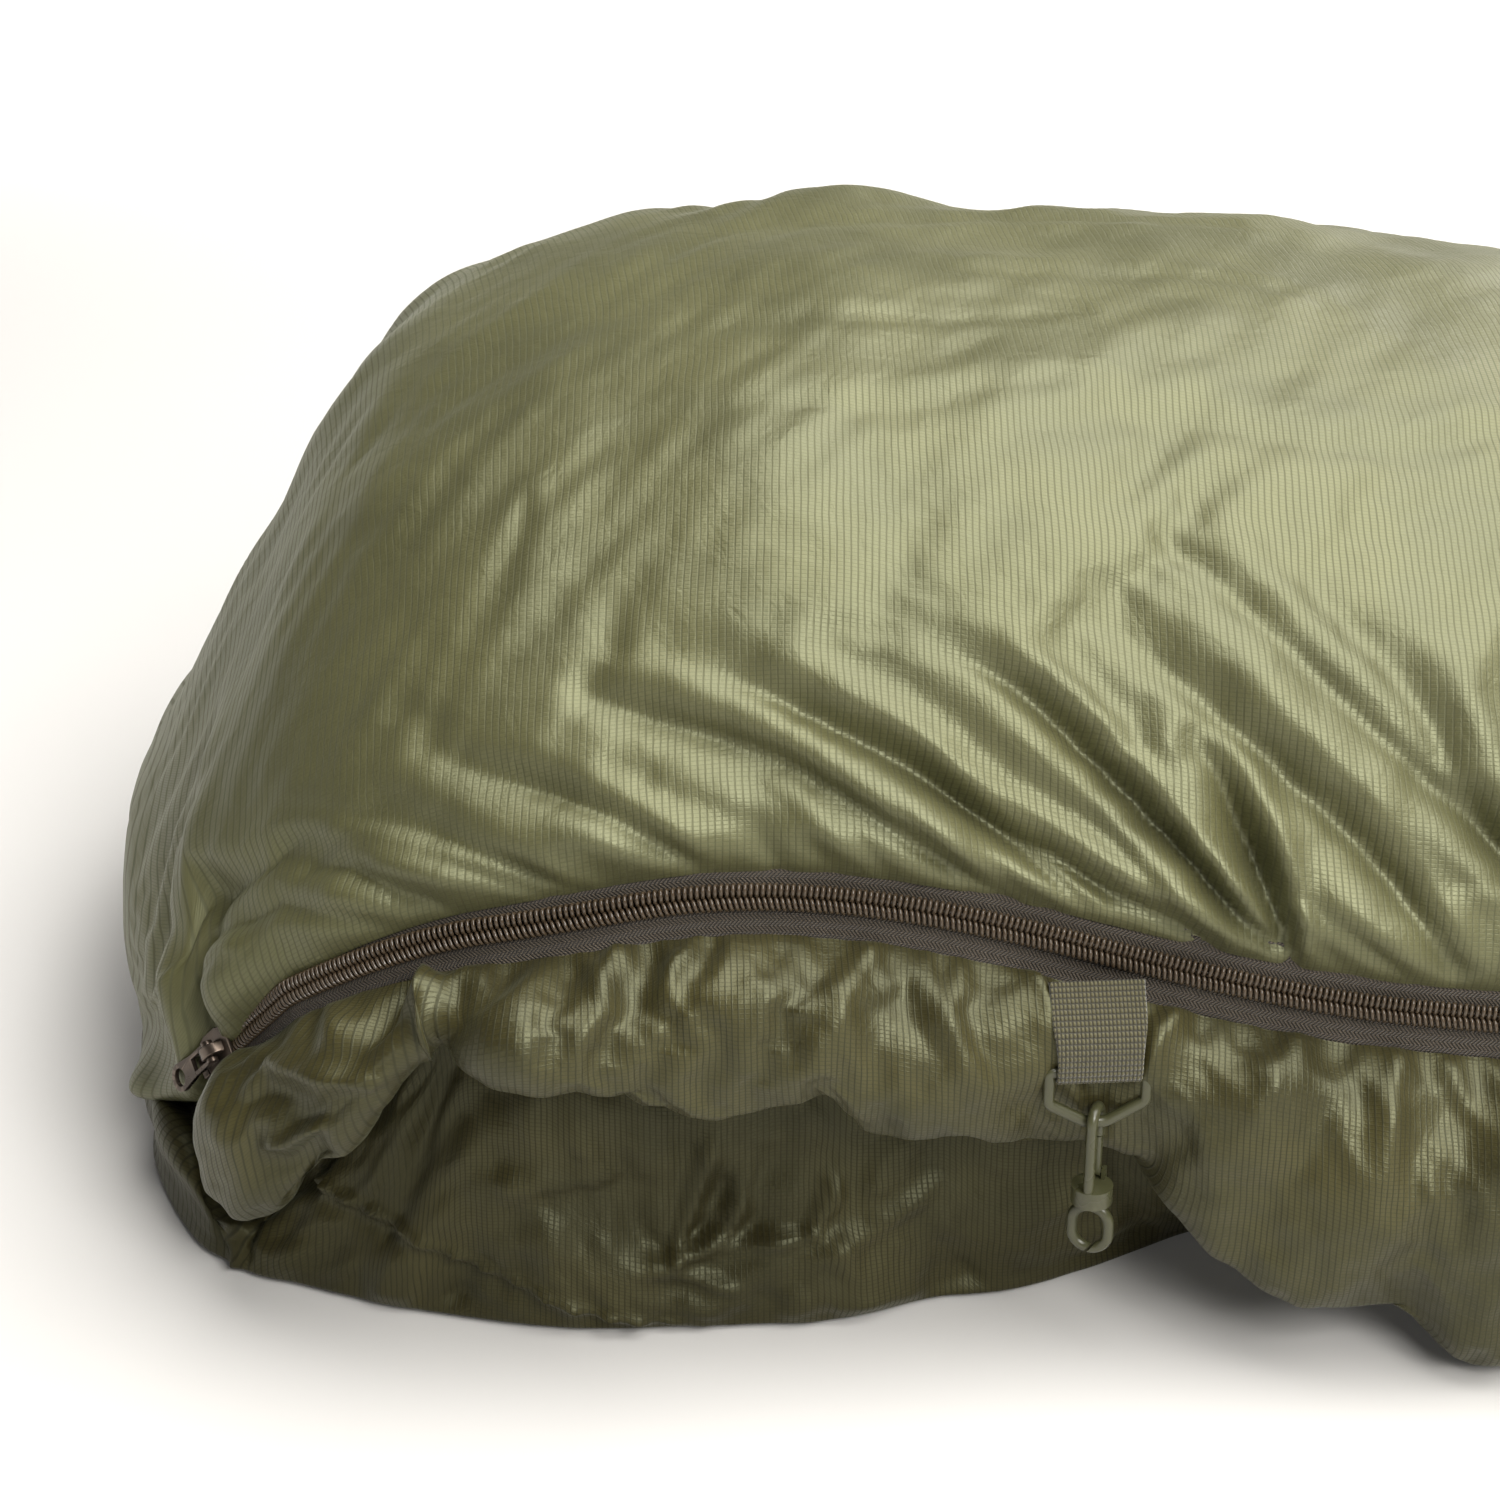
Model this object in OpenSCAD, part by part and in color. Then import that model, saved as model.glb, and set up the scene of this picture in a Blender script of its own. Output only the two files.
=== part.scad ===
// Filled bivy sack lying on its base, foot end at -X, head end at +X, zip side at -Y.
// The origin is on the floor, at the middle of the sack's length and width.

/* [Sack] */
// Length from the foot end to the lower edge of the mouth
sack_length = 2100; // [1900:10:2300]
// Half of the width at the foot
foot_half_w = 204; // [180:1:230]
// Half of the width at the knees
knee_half_w = 249; // [235:1:280]
// Half of the width at the shoulders and the mouth
shoulder_half_w = 370; // [320:1:420]
// Height of the filled foot end
foot_h = 274; // [240:1:300]
// Height over the lower legs
leg_h = 213; // [190:1:235]
// Height at the mouth
mouth_h = 150; // [140:1:180]
// How far the lower layer reaches past the upper one at the mouth
mouth_step = 40; // [20:1:80]

/* [Cloth and fill] */
// Thickness of the modelled shell cloth
shell_t = 2; // [1:0.5:3]
// Thickness of the base panel
base_t = 2; // [1:0.5:3]
// Thickness of the lining cloth
lining_t = 1.6; // [1:0.2:2]
// Thickness of the fill at the sides and the foot
fill_side = 46; // [40:1:60]
// Thickness of the fill over the top
fill_top = 50; // [40:1:60]
// Thickness of the fill under the sleeper
fill_low = 42; // [30:1:50]

/* [Zip] */
// Width of the two coils side by side
chain_w = 7; // [6:0.5:9]
// Height of a coil
coil_h = 2.6; // [2:0.1:3]
// Width of one zip tape
tape_w = 12; // [11:0.5:13]
// Length of a slider
slider_len = 13; // [11:0.5:15]

/* [Tab, ring and hook] */
// Distance of the webbing tab from the foot end
tab_t = 272; // [240:1:320]
// Width of the webbing
webbing_w = 25; // [20:1:28]
// Radius of the ring's bar
bar_r = 1.4; // [1.2:0.1:1.5]
// Inner width of the ring
ring_inner_w = 23; // [21:0.5:26]
// Radius of the hook's strand
strand_r = 1.5; // [1.2:0.1:1.6]

/* [Hidden] */
$fn = 48;

olive = [0.45, 0.47, 0.30];
dark_olive = [0.33, 0.34, 0.20];
lining_grey = [0.28, 0.29, 0.22];
zip_brown = [0.24, 0.21, 0.16];
gunmetal = [0.36, 0.32, 0.29];
ring_green = [0.30, 0.33, 0.22];

foot_x = -sack_length / 2;
upper_end = sack_length - mouth_step;
binding_t = 2.6;
gap = 0.4;
base_z = base_t + gap;          // lowest level of the filled body
tuck = 10;                      // how far the side walls lean in at the floor
section_n = 2.3;                // roundness of the crown's cross-section
belt_part = 0.24;               // level of the widest line, as a part of the height
plan_reach = 165;               // length of the rounded foot in plan
crown_reach = 265;              // length over which the top rises from the foot
floor_reach = 25;               // length over which the foot's underside rises
nose = 0.4;                     // half-closed first section, just inside the foot end

// Smooth step from 0 at a to 1 at b
function ease(a, b, v) = let (u = min(1, max(0, (v - a) / (b - a)))) u * u * (3 - 2 * u);
// Quarter of a superellipse, from 0 at v = 0 to 1 at v = reach
function dome(v, reach, power) =
    let (u = min(1, max(0, 1 - v / reach))) pow(1 - pow(u, power), 1 / power);
function unit(v) = v / norm(v);
function reversed(list) = [for (i = [len(list) - 1:-1:0]) list[i]];

// The body's outline at the distance t from the foot end
function half_width(t) = foot_half_w + (knee_half_w - foot_half_w) * ease(150, 700, t)
    + (shoulder_half_w - knee_half_w) * ease(500, 1500, t);
function crown(t) = foot_h - (foot_h - leg_h) * ease(150, 600, t)
    - (leg_h - mouth_h) * max(0, (t - 900) / (sack_length - 900));
function belt(t) = belt_part * crown(t);

// An inset is [sides, top, underside, foot end]: how far a surface lies inside the outer one
function crown_rise(t, in) = (crown(t) - in[1] - belt(t)) * dome(t - in[3], crown_reach, 1.8);
function wall_drop(t, in) = (belt(t) - base_z - in[2]) * dome(t - in[3], floor_reach, 2);
function side_y(t, a, in) = (half_width(t) - in[0]) * pow(cos(a), 2 / section_n)
    * dome(t - in[3], plan_reach, 2.8 - 0.6 * sin(a));

// A point on the near half: a is an angle from 0 at the widest line to 90 on top of the crown,
// and from 0 down to -10 at the floor
function near_point(t, a, in) = a < 0
    ? [foot_x + t, tuck * dome(t - in[3], plan_reach, 2) * -a / 10 - side_y(t, 0, in),
        belt(t) + wall_drop(t, in) * a / 10]
    : [foot_x + t, -side_y(t, a, in), belt(t) + crown_rise(t, in) * pow(sin(a), 2 / section_n)];
// The same all the way round: 180 is the widest line on the far side, and 190 the floor there
function body_point(t, a, in) = a <= 90 ? near_point(t, a, in)
    : let (p = near_point(t, 180 - a, in)) [p[0], -p[1], p[2]];

// The zip, and the split between the upper and the lower layer, as an angle of the section
zip_start = 34;
zip_lowest = -4;
function zip_angle(t) = zip_lowest + dome(t - zip_start, 80, 2)
    * (10 - zip_lowest + 5 * t / sack_length + 8 * (1 - ease(150, 360, t)));
// Degrees of the section that make up the distance s along the wall at the zip
function wall_degrees(t, s) = let (a = zip_angle(t), in = [0, 0, 0, 0])
    min(20, 4 * s / norm(near_point(t, a + 4, in) - near_point(t, a, in)));
// The same for a distance square to the zip, which climbs steeply at the foot corner
function zip_degrees(t, s) = let (
        in = [0, 0, 0, 0],
        d = near_point(t + 2, zip_angle(t + 2), in) - near_point(t - 2, zip_angle(t - 2), in)
    ) wall_degrees(t, s * norm(d) / norm([d[0], d[1]]));

// Solid between two grids of points, one list of points for each section. The two grids are
// joined along their edges; with closed_foot, each grid's first section is closed by a flat cap.
module skin(outer, inner, closed_foot = false) {
    n = len(outer[0]);
    m = len(outer);
    count = n * m;
    function strip(a, b, c, d) = [[a, b, c], [c, b, d]];
    polyhedron(
        points = concat([for (ring = outer) each ring], [for (ring = inner) each ring]),
        faces = concat(
            [for (k = [0:m - 2], i = [0:n - 2]) let (a = k * n + i)
                each strip(a, a + n, a + 1, a + n + 1)],
            [for (k = [0:m - 2], i = [0:n - 2]) let (a = count + k * n + i)
                each strip(a, a + 1, a + n, a + n + 1)],
            [for (k = [0:m - 2]) let (a = k * n) each strip(a + count, a + n + count, a, a + n)],
            [for (k = [0:m - 2]) let (a = k * n + n - 1)
                each [[a, a + n, a + n + count], [a, a + n + count, a + count]]],
            [for (i = [0:n - 2]) let (a = (m - 1) * n + i)
                each strip(a, a + count, a + 1, a + count + 1)],
            closed_foot
                ? concat(
                    [[for (i = [0:n - 1]) i]],
                    [[for (i = [n - 1:-1:0]) count + i]],
                    strip(n - 1, count + n - 1, 0, count)
                )
                : [for (i = [0:n - 2]) each strip(i + count, i, i + count + 1, i + 1)]
        )
    );
}

// Distances from the foot end, at the corner where the zip starts
side_stations = [27, 29, 31.2, 33.4, 35, 38, 42, 49, 56, 63, 70, 77, 84, 91, 98];
// Distances from the foot end: close together on the rounded foot, then even steps to far
function stations(first, far) = concat(
    [for (k = [0:1:11]) first + 300 * (1 - cos(8 * k))],
    [for (t = [first + 360:90:far - 60]) t],
    [far]
);
// The inner grid's section that faces the one at t, where the inner foot end lies deeper by depth
function facing(t, depth) = t + depth * (1 - ease(0, 400, t));

outer_in = [0, 0, 0, 0];
shell_in = [shell_t, shell_t, shell_t, shell_t];
cavity_in = [fill_side, fill_top, fill_low, fill_side];
lining_outer = [for (v = cavity_in) v + gap];
lining_inner = [for (v = lining_outer) v + lining_t];
layer_end = upper_end - gap;
lower_end = sack_length - binding_t - gap;

// One side of the upper layer's shell starts at the floor on the foot, then above the zip or seam
edge_up = 8;
edge_down = 11;
foot_a = 35;
cut_t = 27;                     // the two layers part here, just before the zip's end
shell_steps = 11;
function upper_path(t) =
    let (
        on_foot = t < cut_t,
        s = max(t, foot_a),         // a notch before the zip's end gives the parked slider room
        first = on_foot ? -10 : zip_angle(s) + zip_degrees(s, edge_up),
        last = on_foot ? 190 : 180 - zip_angle(t) - zip_degrees(t, gap)
    )
    concat(
        [for (i = [0:shell_steps]) first + (90 - first) * i / shell_steps],
        [for (i = [1:shell_steps]) 90 + (last - 90) * i / shell_steps]
    );
module upper_shell() {
    ts = concat([for (k = [0:1:4]) nose + (cut_t - 1 - nose) * pow(k / 4, 1.6)],
        side_stations, stations(110, layer_end));
    color(olive) skin(
        [for (t = ts) [for (a = upper_path(t)) body_point(t, a, outer_in)]],
        [for (t = ts) let (s = facing(t, shell_t))
            [for (a = upper_path(t)) body_point(s, a, shell_in)]],
        closed_foot = true
    );
}

// The walls below the zip and below the far seam; the near one is gathered in use
module side_wall(far_side, edge) {
    ts = concat(side_stations, stations(110, layer_end), [lower_end]);
    function wall(t, place, in) = [for (i = [0:7])
        let (
            top = zip_angle(t) - zip_degrees(t, edge),
            a = max(-9, top) + (-10 - max(-9, top)) * i / 7
        )
        body_point(place, far_side ? 180 - a : a, in)];
    outer = [for (t = ts) wall(t, t, outer_in)];
    inner = [for (t = ts) wall(t, facing(t, shell_t), shell_in)];
    color(dark_olive) if (far_side) skin(outer, inner); else skin(inner, outer);
}
module zip_side_panel() { side_wall(false, edge_down); }
module far_side_panel() { side_wall(true, gap); }

module base_panel() {
    half = [for (t = concat([12], stations(20, sack_length))) near_point(t, -10, outer_in)];
    color(dark_olive) linear_extrude(base_t) polygon(concat(
        [for (p = half) [p[0], p[1] + 1]],
        [for (p = reversed(half)) [p[0], -p[1] - 1]]
    ));
}

// The fill stays behind the zip: its outer surface is deeper there by zip_room
zip_room = 20;
function fill_in(t, near_zip) = let (e = near_zip ? ease(10, 34, t) : 0)
    [shell_t + 1 + e * zip_room, shell_t + 1 + e * zip_room, gap,
        shell_t + 1 + e * (zip_room - 6)];
fill_ts = stations(shell_t + 1 + nose, layer_end);
cavity_ts = [for (t = fill_ts) facing(t, fill_side - shell_t - 1)];
lining_ts = [for (t = cavity_ts) facing(t, gap)];
function upper_angles(t) = let (a = zip_angle(t), w = min(12, zip_degrees(t, 22))) concat(
    [a, a + w, a + 1.3 * w], [for (i = [1:8]) a + 1.3 * w + (90 - a - 1.3 * w) * i / 8],
    [for (i = [1:10]) 90 + (90 - a) * i / 10]);
function lower_angles(t) = let (a = zip_angle(t) - wall_degrees(t, gap))
    [for (i = [0:3]) a + (-10 - a) * i / 3];

module upper_fill() {
    function outer(t) = [for (i = [0:20]) body_point(t, upper_angles(t)[i], fill_in(t, i < 2))];
    color("ivory") skin(
        [for (t = fill_ts) outer(t)],
        [for (t = cavity_ts) [for (a = upper_angles(t)) body_point(t, a, cavity_in)]],
        closed_foot = true
    );
}

// The lower layer's path: down the far wall, across the floor and up the near wall
function lower_path(t, near_in, far_in) =
    let (far = [for (a = lower_angles(t)) body_point(t, 180 - a, far_in)],
        near = [for (a = lower_angles(t)) near_point(t, a, near_in)],
        p = near_point(t, -10, far_in))
    concat(far, [[p[0], 0, p[2]]], reversed(near));

module lower_fill() {
    color("ivory") skin(
        [for (t = concat(fill_ts, [lower_end])) lower_path(t, fill_in(t, true), fill_in(t, false))],
        [for (t = concat(cavity_ts, [lower_end])) lower_path(t, cavity_in, cavity_in)],
        closed_foot = true
    );
}

module upper_lining() {
    function ring(t, in) = [for (a = upper_angles(t)) body_point(t, a, in)];
    color(lining_grey) skin(
        [for (t = lining_ts) ring(t, lining_outer)],
        [for (t = lining_ts) ring(facing(t, lining_t), lining_inner)],
        closed_foot = true
    );
}

module lower_lining() {
    ts = concat(lining_ts, [lower_end]);
    color(lining_grey) skin(
        [for (t = ts) lower_path(t, lining_outer, lining_outer)],
        [for (t = ts) lower_path(facing(t, lining_t), lining_inner, lining_inner)],
        closed_foot = true
    );
}

// Flat bands that close the cut ends of the two layers
module mouth_binding_upper() {
    function ring(t, in) = [for (a = upper_angles(t)) body_point(t, a, in)];
    color(dark_olive) skin(
        [for (t = [upper_end, upper_end + binding_t]) ring(t, outer_in)],
        [for (t = [upper_end, upper_end + binding_t]) ring(t, lining_inner)]
    );
}
module mouth_binding_lower() {
    color(dark_olive) skin(
        [for (t = [sack_length - binding_t, sack_length]) lower_path(t, outer_in, outer_in)],
        [for (t = [sack_length - binding_t, sack_length])
            lower_path(t, lining_inner, lining_inner)]
    );
}

// A frame on the zip's path: [point, along the zip, across it upwards, outwards]
tape_depth = 4.6;
tape_in = [tape_depth, tape_depth, 0, tape_depth];
function zip_point(t) = near_point(t, zip_angle(t), tape_in);
function zip_tilt(t) = let (d = near_point(t, zip_angle(t) + 2, tape_in)
    - near_point(t, max(0, zip_angle(t) - 2), tape_in)) atan(d[1] / d[2]);
function zip_frame(p, along, tilt) =
    let (out = unit(cross(along, [0, 0, 1])), up = cross(out, along))
    [p, along, up * cos(tilt) - out * sin(tilt), out * cos(tilt) + up * sin(tilt)];
function shifted(f, s) = [f[0] + s * f[1], f[1], f[2], f[3]];
function flipped(f) = [f[0], -f[1], -f[2], f[3]];

// The zip is straight where a slider travels: at the foot corner and near the head
foot_b = 60;
head_a = 1700;
head_b = upper_end - 6;
function straight_frame(a, b, start) = zip_frame(zip_point(start),
    unit(zip_point(b) - zip_point(a)), zip_tilt((a + b) / 2));
foot_straight = norm(zip_point(foot_b) - zip_point(foot_a));
head_straight = norm(zip_point(head_b) - zip_point(head_a));
foot_frame = straight_frame(foot_a, foot_b, foot_a);
head_frame = straight_frame(head_a, head_b, head_b);
curve_frames = [
    for (t = concat([for (t = [foot_b + 8:9:foot_b + 116]) t], [for (t = [200:25:400]) t],
        [for (t = [470:80:1590]) t]))
    zip_frame(zip_point(t), unit(zip_point(t + 2) - zip_point(t - 2)), zip_tilt(t))
];

// Solid with one cross-section along the zip; it starts before the foot end by the distance early
module along_zip(profile, early, late = 0) {
    frames = concat([shifted(foot_frame, -early), shifted(foot_frame, foot_straight)],
        curve_frames, [shifted(head_frame, -head_straight), shifted(head_frame, late)]);
    n = len(profile);
    last = (len(frames) - 1) * n;
    polyhedron(
        points = [for (f = frames, q = profile) f[0] + q[0] * f[2] + q[1] * f[3]],
        faces = concat(
            [[for (i = [0:n - 1]) i]],
            [[for (i = [n - 1:-1:0]) last + i]],
            [for (k = [0:len(frames) - 2], i = [0:n - 1])
                let (a = k * n + i, b = k * n + (i + 1) % n)
                each [[a, a + n, b], [b, a + n, b + n]]]
        )
    );
}
function box_profile(a0, a1, b0, b1) = [[a0, b0], [a0, b1], [a1, b1], [a1, b0]];

// Places children in a frame of the zip: X along it, Y across it, Z outwards
module in_frame(f, s = 0) {
    p = f[0] + s * f[1];
    multmatrix([
        [f[1][0], f[2][0], f[3][0], p[0]],
        [f[1][1], f[2][1], f[3][1], p[1]],
        [f[1][2], f[2][2], f[3][2], p[2]],
        [0, 0, 0, 1]
    ]) children();
}

module draft_tube() {
    color(lining_grey) along_zip([
        [-13, -8], [-8, -5.2], [8, -4.6], [17, -5.8], [19, -8], [15, -10.6], [2, -11.6], [-9, -10.8]
    ], 2);
}

// Zip tapes and coils: the slider's web needs a narrow gap between the halves
half_gap = 0.7;
tape_t = 0.8;
coil_start = 0.4;

module tape(side) {
    inner = side * half_gap;
    outer = side * (half_gap + tape_w);
    color(zip_brown) along_zip(
        box_profile(min(inner, outer), max(inner, outer), -tape_t, 0), 6);
}
module zip_tape_upper() { tape(1); }
module zip_tape_lower() { tape(-1); }

module coil(side) {
    m = side * (half_gap + chain_w / 2) / 2;
    w = (chain_w / 2 - half_gap) / 2;
    color(zip_brown) along_zip([
        [m - w, gap + 0.3], [m - w, coil_h - 0.8], [m - w + 0.7, coil_h], [m + w - 0.7, coil_h],
        [m + w, coil_h - 0.8], [m + w, gap + 0.3], [m + w - 0.3, gap], [m - w + 0.3, gap]
    ], -coil_start, -coil_start);
}
module zip_coil_upper() { coil(1); }
module zip_coil_lower() { coil(-1); }

module zip_stop() {
    translate([-3.2, -chain_w / 2, 0]) cube([3, chain_w, coil_h + 0.2]);
}
module zip_stop_foot() { color(gunmetal) in_frame(foot_frame) zip_stop(); }
module zip_stop_head() { color(gunmetal) in_frame(flipped(head_frame)) zip_stop(); }

// Sliders: Z = 0 is the tapes' outer face, and the throat points to -X
slider_rest = 9;
plate_t = 1.2;
plate_low = coil_h + 0.4;
under_top = -tape_t - 0.5;
channel_half = chain_w / 2 + 0.5;
slider_half = channel_half + 2.2;
pin_z = plate_low + plate_t + 2.2;
pin_r = 0.85;
cap_w = 3.2;
pull_t = 1.4;
pull_end_r = 4;
pull_len = 17;
pull_hole_r = 2.6;

module slider_plan() {
    l = slider_len / 2;
    w = slider_half;
    polygon([
        [-l, -w + 0.8], [-l + 2.5, -w], [2, -w], [l, -w + 1.2],
        [l, w - 1.2], [2, w], [-l + 2.5, w], [-l, w - 0.8]
    ]);
}

module slider() {
    color(gunmetal) {
        translate([0, 0, plate_low]) linear_extrude(plate_t) slider_plan();
        translate([0, 0, 0.4]) linear_extrude(plate_low - 0.4) difference() {
            slider_plan();
            square([2 * slider_len, 2 * channel_half], center = true);
        }
        translate([0, 0, under_top - plate_t]) linear_extrude(plate_t) slider_plan();
        translate([-slider_len / 2 + 1, -0.4, under_top - 0.2])
            cube([4, 0.8, plate_low - under_top + 0.4]);
    }
}

module slider_cap() {
    z = plate_low + plate_t;
    color(gunmetal) rotate([90, 0, 0]) linear_extrude(cap_w, center = true) difference() {
        polygon([
            [-4.2, z], [-3.8, z + 2.4], [-2.8, z + 3.8], [-1.2, z + 4.4],
            [1.2, z + 4.4], [2.8, z + 3.8], [3.8, z + 2.4], [4.2, z]
        ]);
        translate([0, pin_z]) circle(r = pin_r + 0.05);
    }
}

module slider_pull() {
    arm_in = cap_w / 2 + 0.3;
    arm_t = 1.2;
    fork = 9;
    color(gunmetal) translate([0, 0, pin_z]) {
        rotate([90, 0, 0]) cylinder(r = pin_r, h = 2 * arm_in + 0.4, center = true);
        for (side = [-1, 1]) {
            translate([0, side * (arm_in + arm_t / 2), 0]) rotate([90, 0, 0])
                cylinder(r = 1.6, h = arm_t, center = true);
            translate([-fork - 0.5, side * (arm_in + arm_t / 2) - arm_t / 2, -pull_t / 2])
                cube([fork + 0.5, arm_t, pull_t]);
        }
        difference() {
            translate([0, 0, -pull_t / 2]) linear_extrude(pull_t) union() {
                polygon([
                    [-fork, -arm_in - arm_t], [-fork, arm_in + arm_t],
                    [-pull_len, pull_end_r], [-pull_len, -pull_end_r]
                ]);
                translate([-pull_len, 0]) circle(r = pull_end_r);
            }
            translate([-pull_len, 0, 0]) cylinder(r = pull_hole_r, h = 4 * pull_t, center = true);
        }
    }
}

module slider_foot() { in_frame(foot_frame, slider_rest) slider(); }
module slider_cap_foot() { in_frame(foot_frame, slider_rest) slider_cap(); }
module slider_pull_foot() { in_frame(foot_frame, slider_rest) slider_pull(); }
module slider_head() { in_frame(flipped(head_frame), slider_rest) slider(); }
module slider_cap_head() { in_frame(flipped(head_frame), slider_rest) slider_cap(); }
module slider_pull_head() { in_frame(flipped(head_frame), slider_rest) slider_pull(); }

// Webbing tab, with the ring's top bar in its loop
loop_r = bar_r + 0.4;
webbing_t = 1.3;
loop_y = -half_width(tab_t) - 8.4;
loop_z = 92;
tab_lean = 20;
tab_up = 19;
squeezed_w = ring_inner_w - 1;

module at_tab() { translate([foot_x + tab_t, loop_y, loop_z]) children(); }

module webbing_tab() {
    outer = loop_r + webbing_t;
    color(dark_olive) at_tab() rotate([-tab_lean, 0, 0]) difference() {
        union() {
            rotate([0, 90, 0]) cylinder(r = outer, h = squeezed_w, center = true);
            translate([-squeezed_w / 2, outer - 2 * webbing_t, 0])
                cube([squeezed_w, 2 * webbing_t, 8]);
            translate([-webbing_w / 2, outer - 2 * webbing_t, 7])
                cube([webbing_w, 2 * webbing_t, tab_up - 7]);
        }
        rotate([0, 90, 0]) cylinder(r = loop_r, h = webbing_w, center = true);
    }
}

module tab_bar_tacks() {
    color("darkolivegreen") at_tab() rotate([-tab_lean, 0, 0]) for (z = [9, 16])
        translate([-webbing_w / 2 + 3, loop_r - webbing_t - 0.5, z]) cube([webbing_w - 6, 0.5, 1.4]);
}

// D-ring with a V-shaped lower bar, hanging from the tab's loop
ring_side = ring_inner_w / 2 + bar_r;
ring_drop = 9.5;
flat_half = 2.5;
apex_drop = ring_drop + (ring_side - flat_half) * tan(30);
apex_z = loop_z - apex_drop;

module rod(a, b, r) {
    d = b - a;
    translate(a) rotate([0, acos(d[2] / norm(d)), atan2(d[1], d[0])]) cylinder(r = r, h = norm(d));
}

// The bars stop short of the corners, where slightly fuller knuckles join them
module d_ring() {
    corners = [
        [-ring_side, 0, 0], [-ring_side, 0, -ring_drop], [-flat_half, 0, -apex_drop],
        [flat_half, 0, -apex_drop], [ring_side, 0, -ring_drop], [ring_side, 0, 0]
    ];
    knuckle_r = 1.15 * bar_r;
    color(ring_green) at_tab() for (i = [0:len(corners) - 1]) {
        p = corners[i];
        q = corners[(i + 1) % len(corners)];
        short = 0.6 * bar_r * unit(q - p);
        rod(p + short, q - short, bar_r);
        translate(p) sphere(r = knuckle_r);
    }
}

// Snap hook on the ring's lower bar, with the hook's own plane turned by hook_turn
bend_r = 4;
hook_turn = -25;
hook_long = 19.4;       // from the ring's bar down to the collar's top
nose_long = 6;
collar_h = 5;
collar_r = 5.6;
gate_r = 1.3;
gate_pin_r = 0.7;
gate_low = 2;           // height of the gate's pin over the collar
stem_r = 2;
head_r = 3;

module at_hook() {
    translate([foot_x + tab_t, loop_y, apex_z]) rotate([0, 0, hook_turn]) children();
}

module hook_body() {
    color(ring_green) at_hook() {
        rotate([90, 0, 90])
            rotate_extrude(angle = 180) translate([bend_r, 0]) circle(r = strand_r);
        translate([0, -bend_r, -hook_long - 0.5]) cylinder(r = strand_r, h = hook_long + 0.5);
        translate([0, bend_r, -nose_long]) cylinder(r = strand_r, h = nose_long);
        translate([0, 0, -hook_long - collar_h]) difference() {
            cylinder(r = collar_r, h = collar_h);
            translate([0, 0, -1]) cylinder(r = stem_r + 0.08, h = collar_h - 1.5);
            translate([0, 0, 1.5]) cylinder(r = head_r + 0.3, h = 2);
        }
        translate([0, bend_r, -hook_long + gate_low]) rotate([0, 90, 0])
            cylinder(r = gate_pin_r, h = 4.8, center = true);
        for (side = [-1, 1])
            translate([side * 2.1 - 0.5, bend_r - 1.2, -hook_long - 0.4]) cube([1, 2.4, gate_low + 1.6]);
    }
}

module hook_gate() {
    color(ring_green) at_hook() translate([0, bend_r, -hook_long + gate_low]) difference() {
        union() {
            rotate([0, 90, 0]) cylinder(r = gate_r + 0.1, h = 2.6, center = true);
            cylinder(r = gate_r, h = hook_long - gate_low - nose_long - 0.5);
        }
        rotate([0, 90, 0]) cylinder(r = gate_pin_r + 0.05, h = 8, center = true);
    }
}

// Swivel: a headed stem in the collar, and a split loop below it
eye_r = 5;
eye_bar = 1.5;
eye_long = 3;
slit = 0.8;

module hook_swivel() {
    top = -hook_long - collar_h;
    color(ring_green) at_hook() {
        translate([0, 0, top + 1.8]) cylinder(r = head_r, h = 1.2);
        translate([0, 0, top - 1.6]) cylinder(r = stem_r, h = 3.6);
        translate([0, 0, top - 0.4 - eye_bar]) difference() {
            union() {
                translate([0, 0, -eye_r]) rotate([90, 0, 0])
                    rotate_extrude(angle = 180) translate([eye_r, 0]) circle(r = eye_bar);
                for (side = [-1, 1]) translate([side * eye_r, 0, -eye_r - eye_long])
                    cylinder(r = eye_bar, h = eye_long);
                translate([0, 0, -eye_r - eye_long]) rotate([-90, 0, 0])
                    rotate_extrude(angle = 180) translate([eye_r, 0]) circle(r = eye_bar);
            }
            translate([0, 0, -2 * eye_r - eye_long]) rotate([0, 35, 0])
                cube([slit, 4 * eye_bar, 4 * eye_bar], center = true);
        }
    }
}

upper_shell();
zip_side_panel();
far_side_panel();
base_panel();
upper_fill();
lower_fill();
upper_lining();
lower_lining();
draft_tube();
mouth_binding_upper();
mouth_binding_lower();
zip_tape_upper();
zip_tape_lower();
zip_coil_upper();
zip_coil_lower();
zip_stop_foot();
zip_stop_head();
webbing_tab();
tab_bar_tacks();
slider_foot();
slider_cap_foot();
slider_pull_foot();
slider_head();
slider_cap_head();
slider_pull_head();
d_ring();
hook_body();
hook_gate();
hook_swivel();
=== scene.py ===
"""The looks of a filled bivy sack on a pale floor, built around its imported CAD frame.

Shapes are worked out in millimetres in the CAD frame: X runs from the foot to the head, Y away
from the zip side and Z up. t is the distance from the foot end. On a grid of cloth, u is t
again, negative on the base's far side, and s is the distance over the cloth from its first
edge. A cloth's relief is how far it stands out from its smooth shape. Meshes are in metres.
"""

import math

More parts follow.
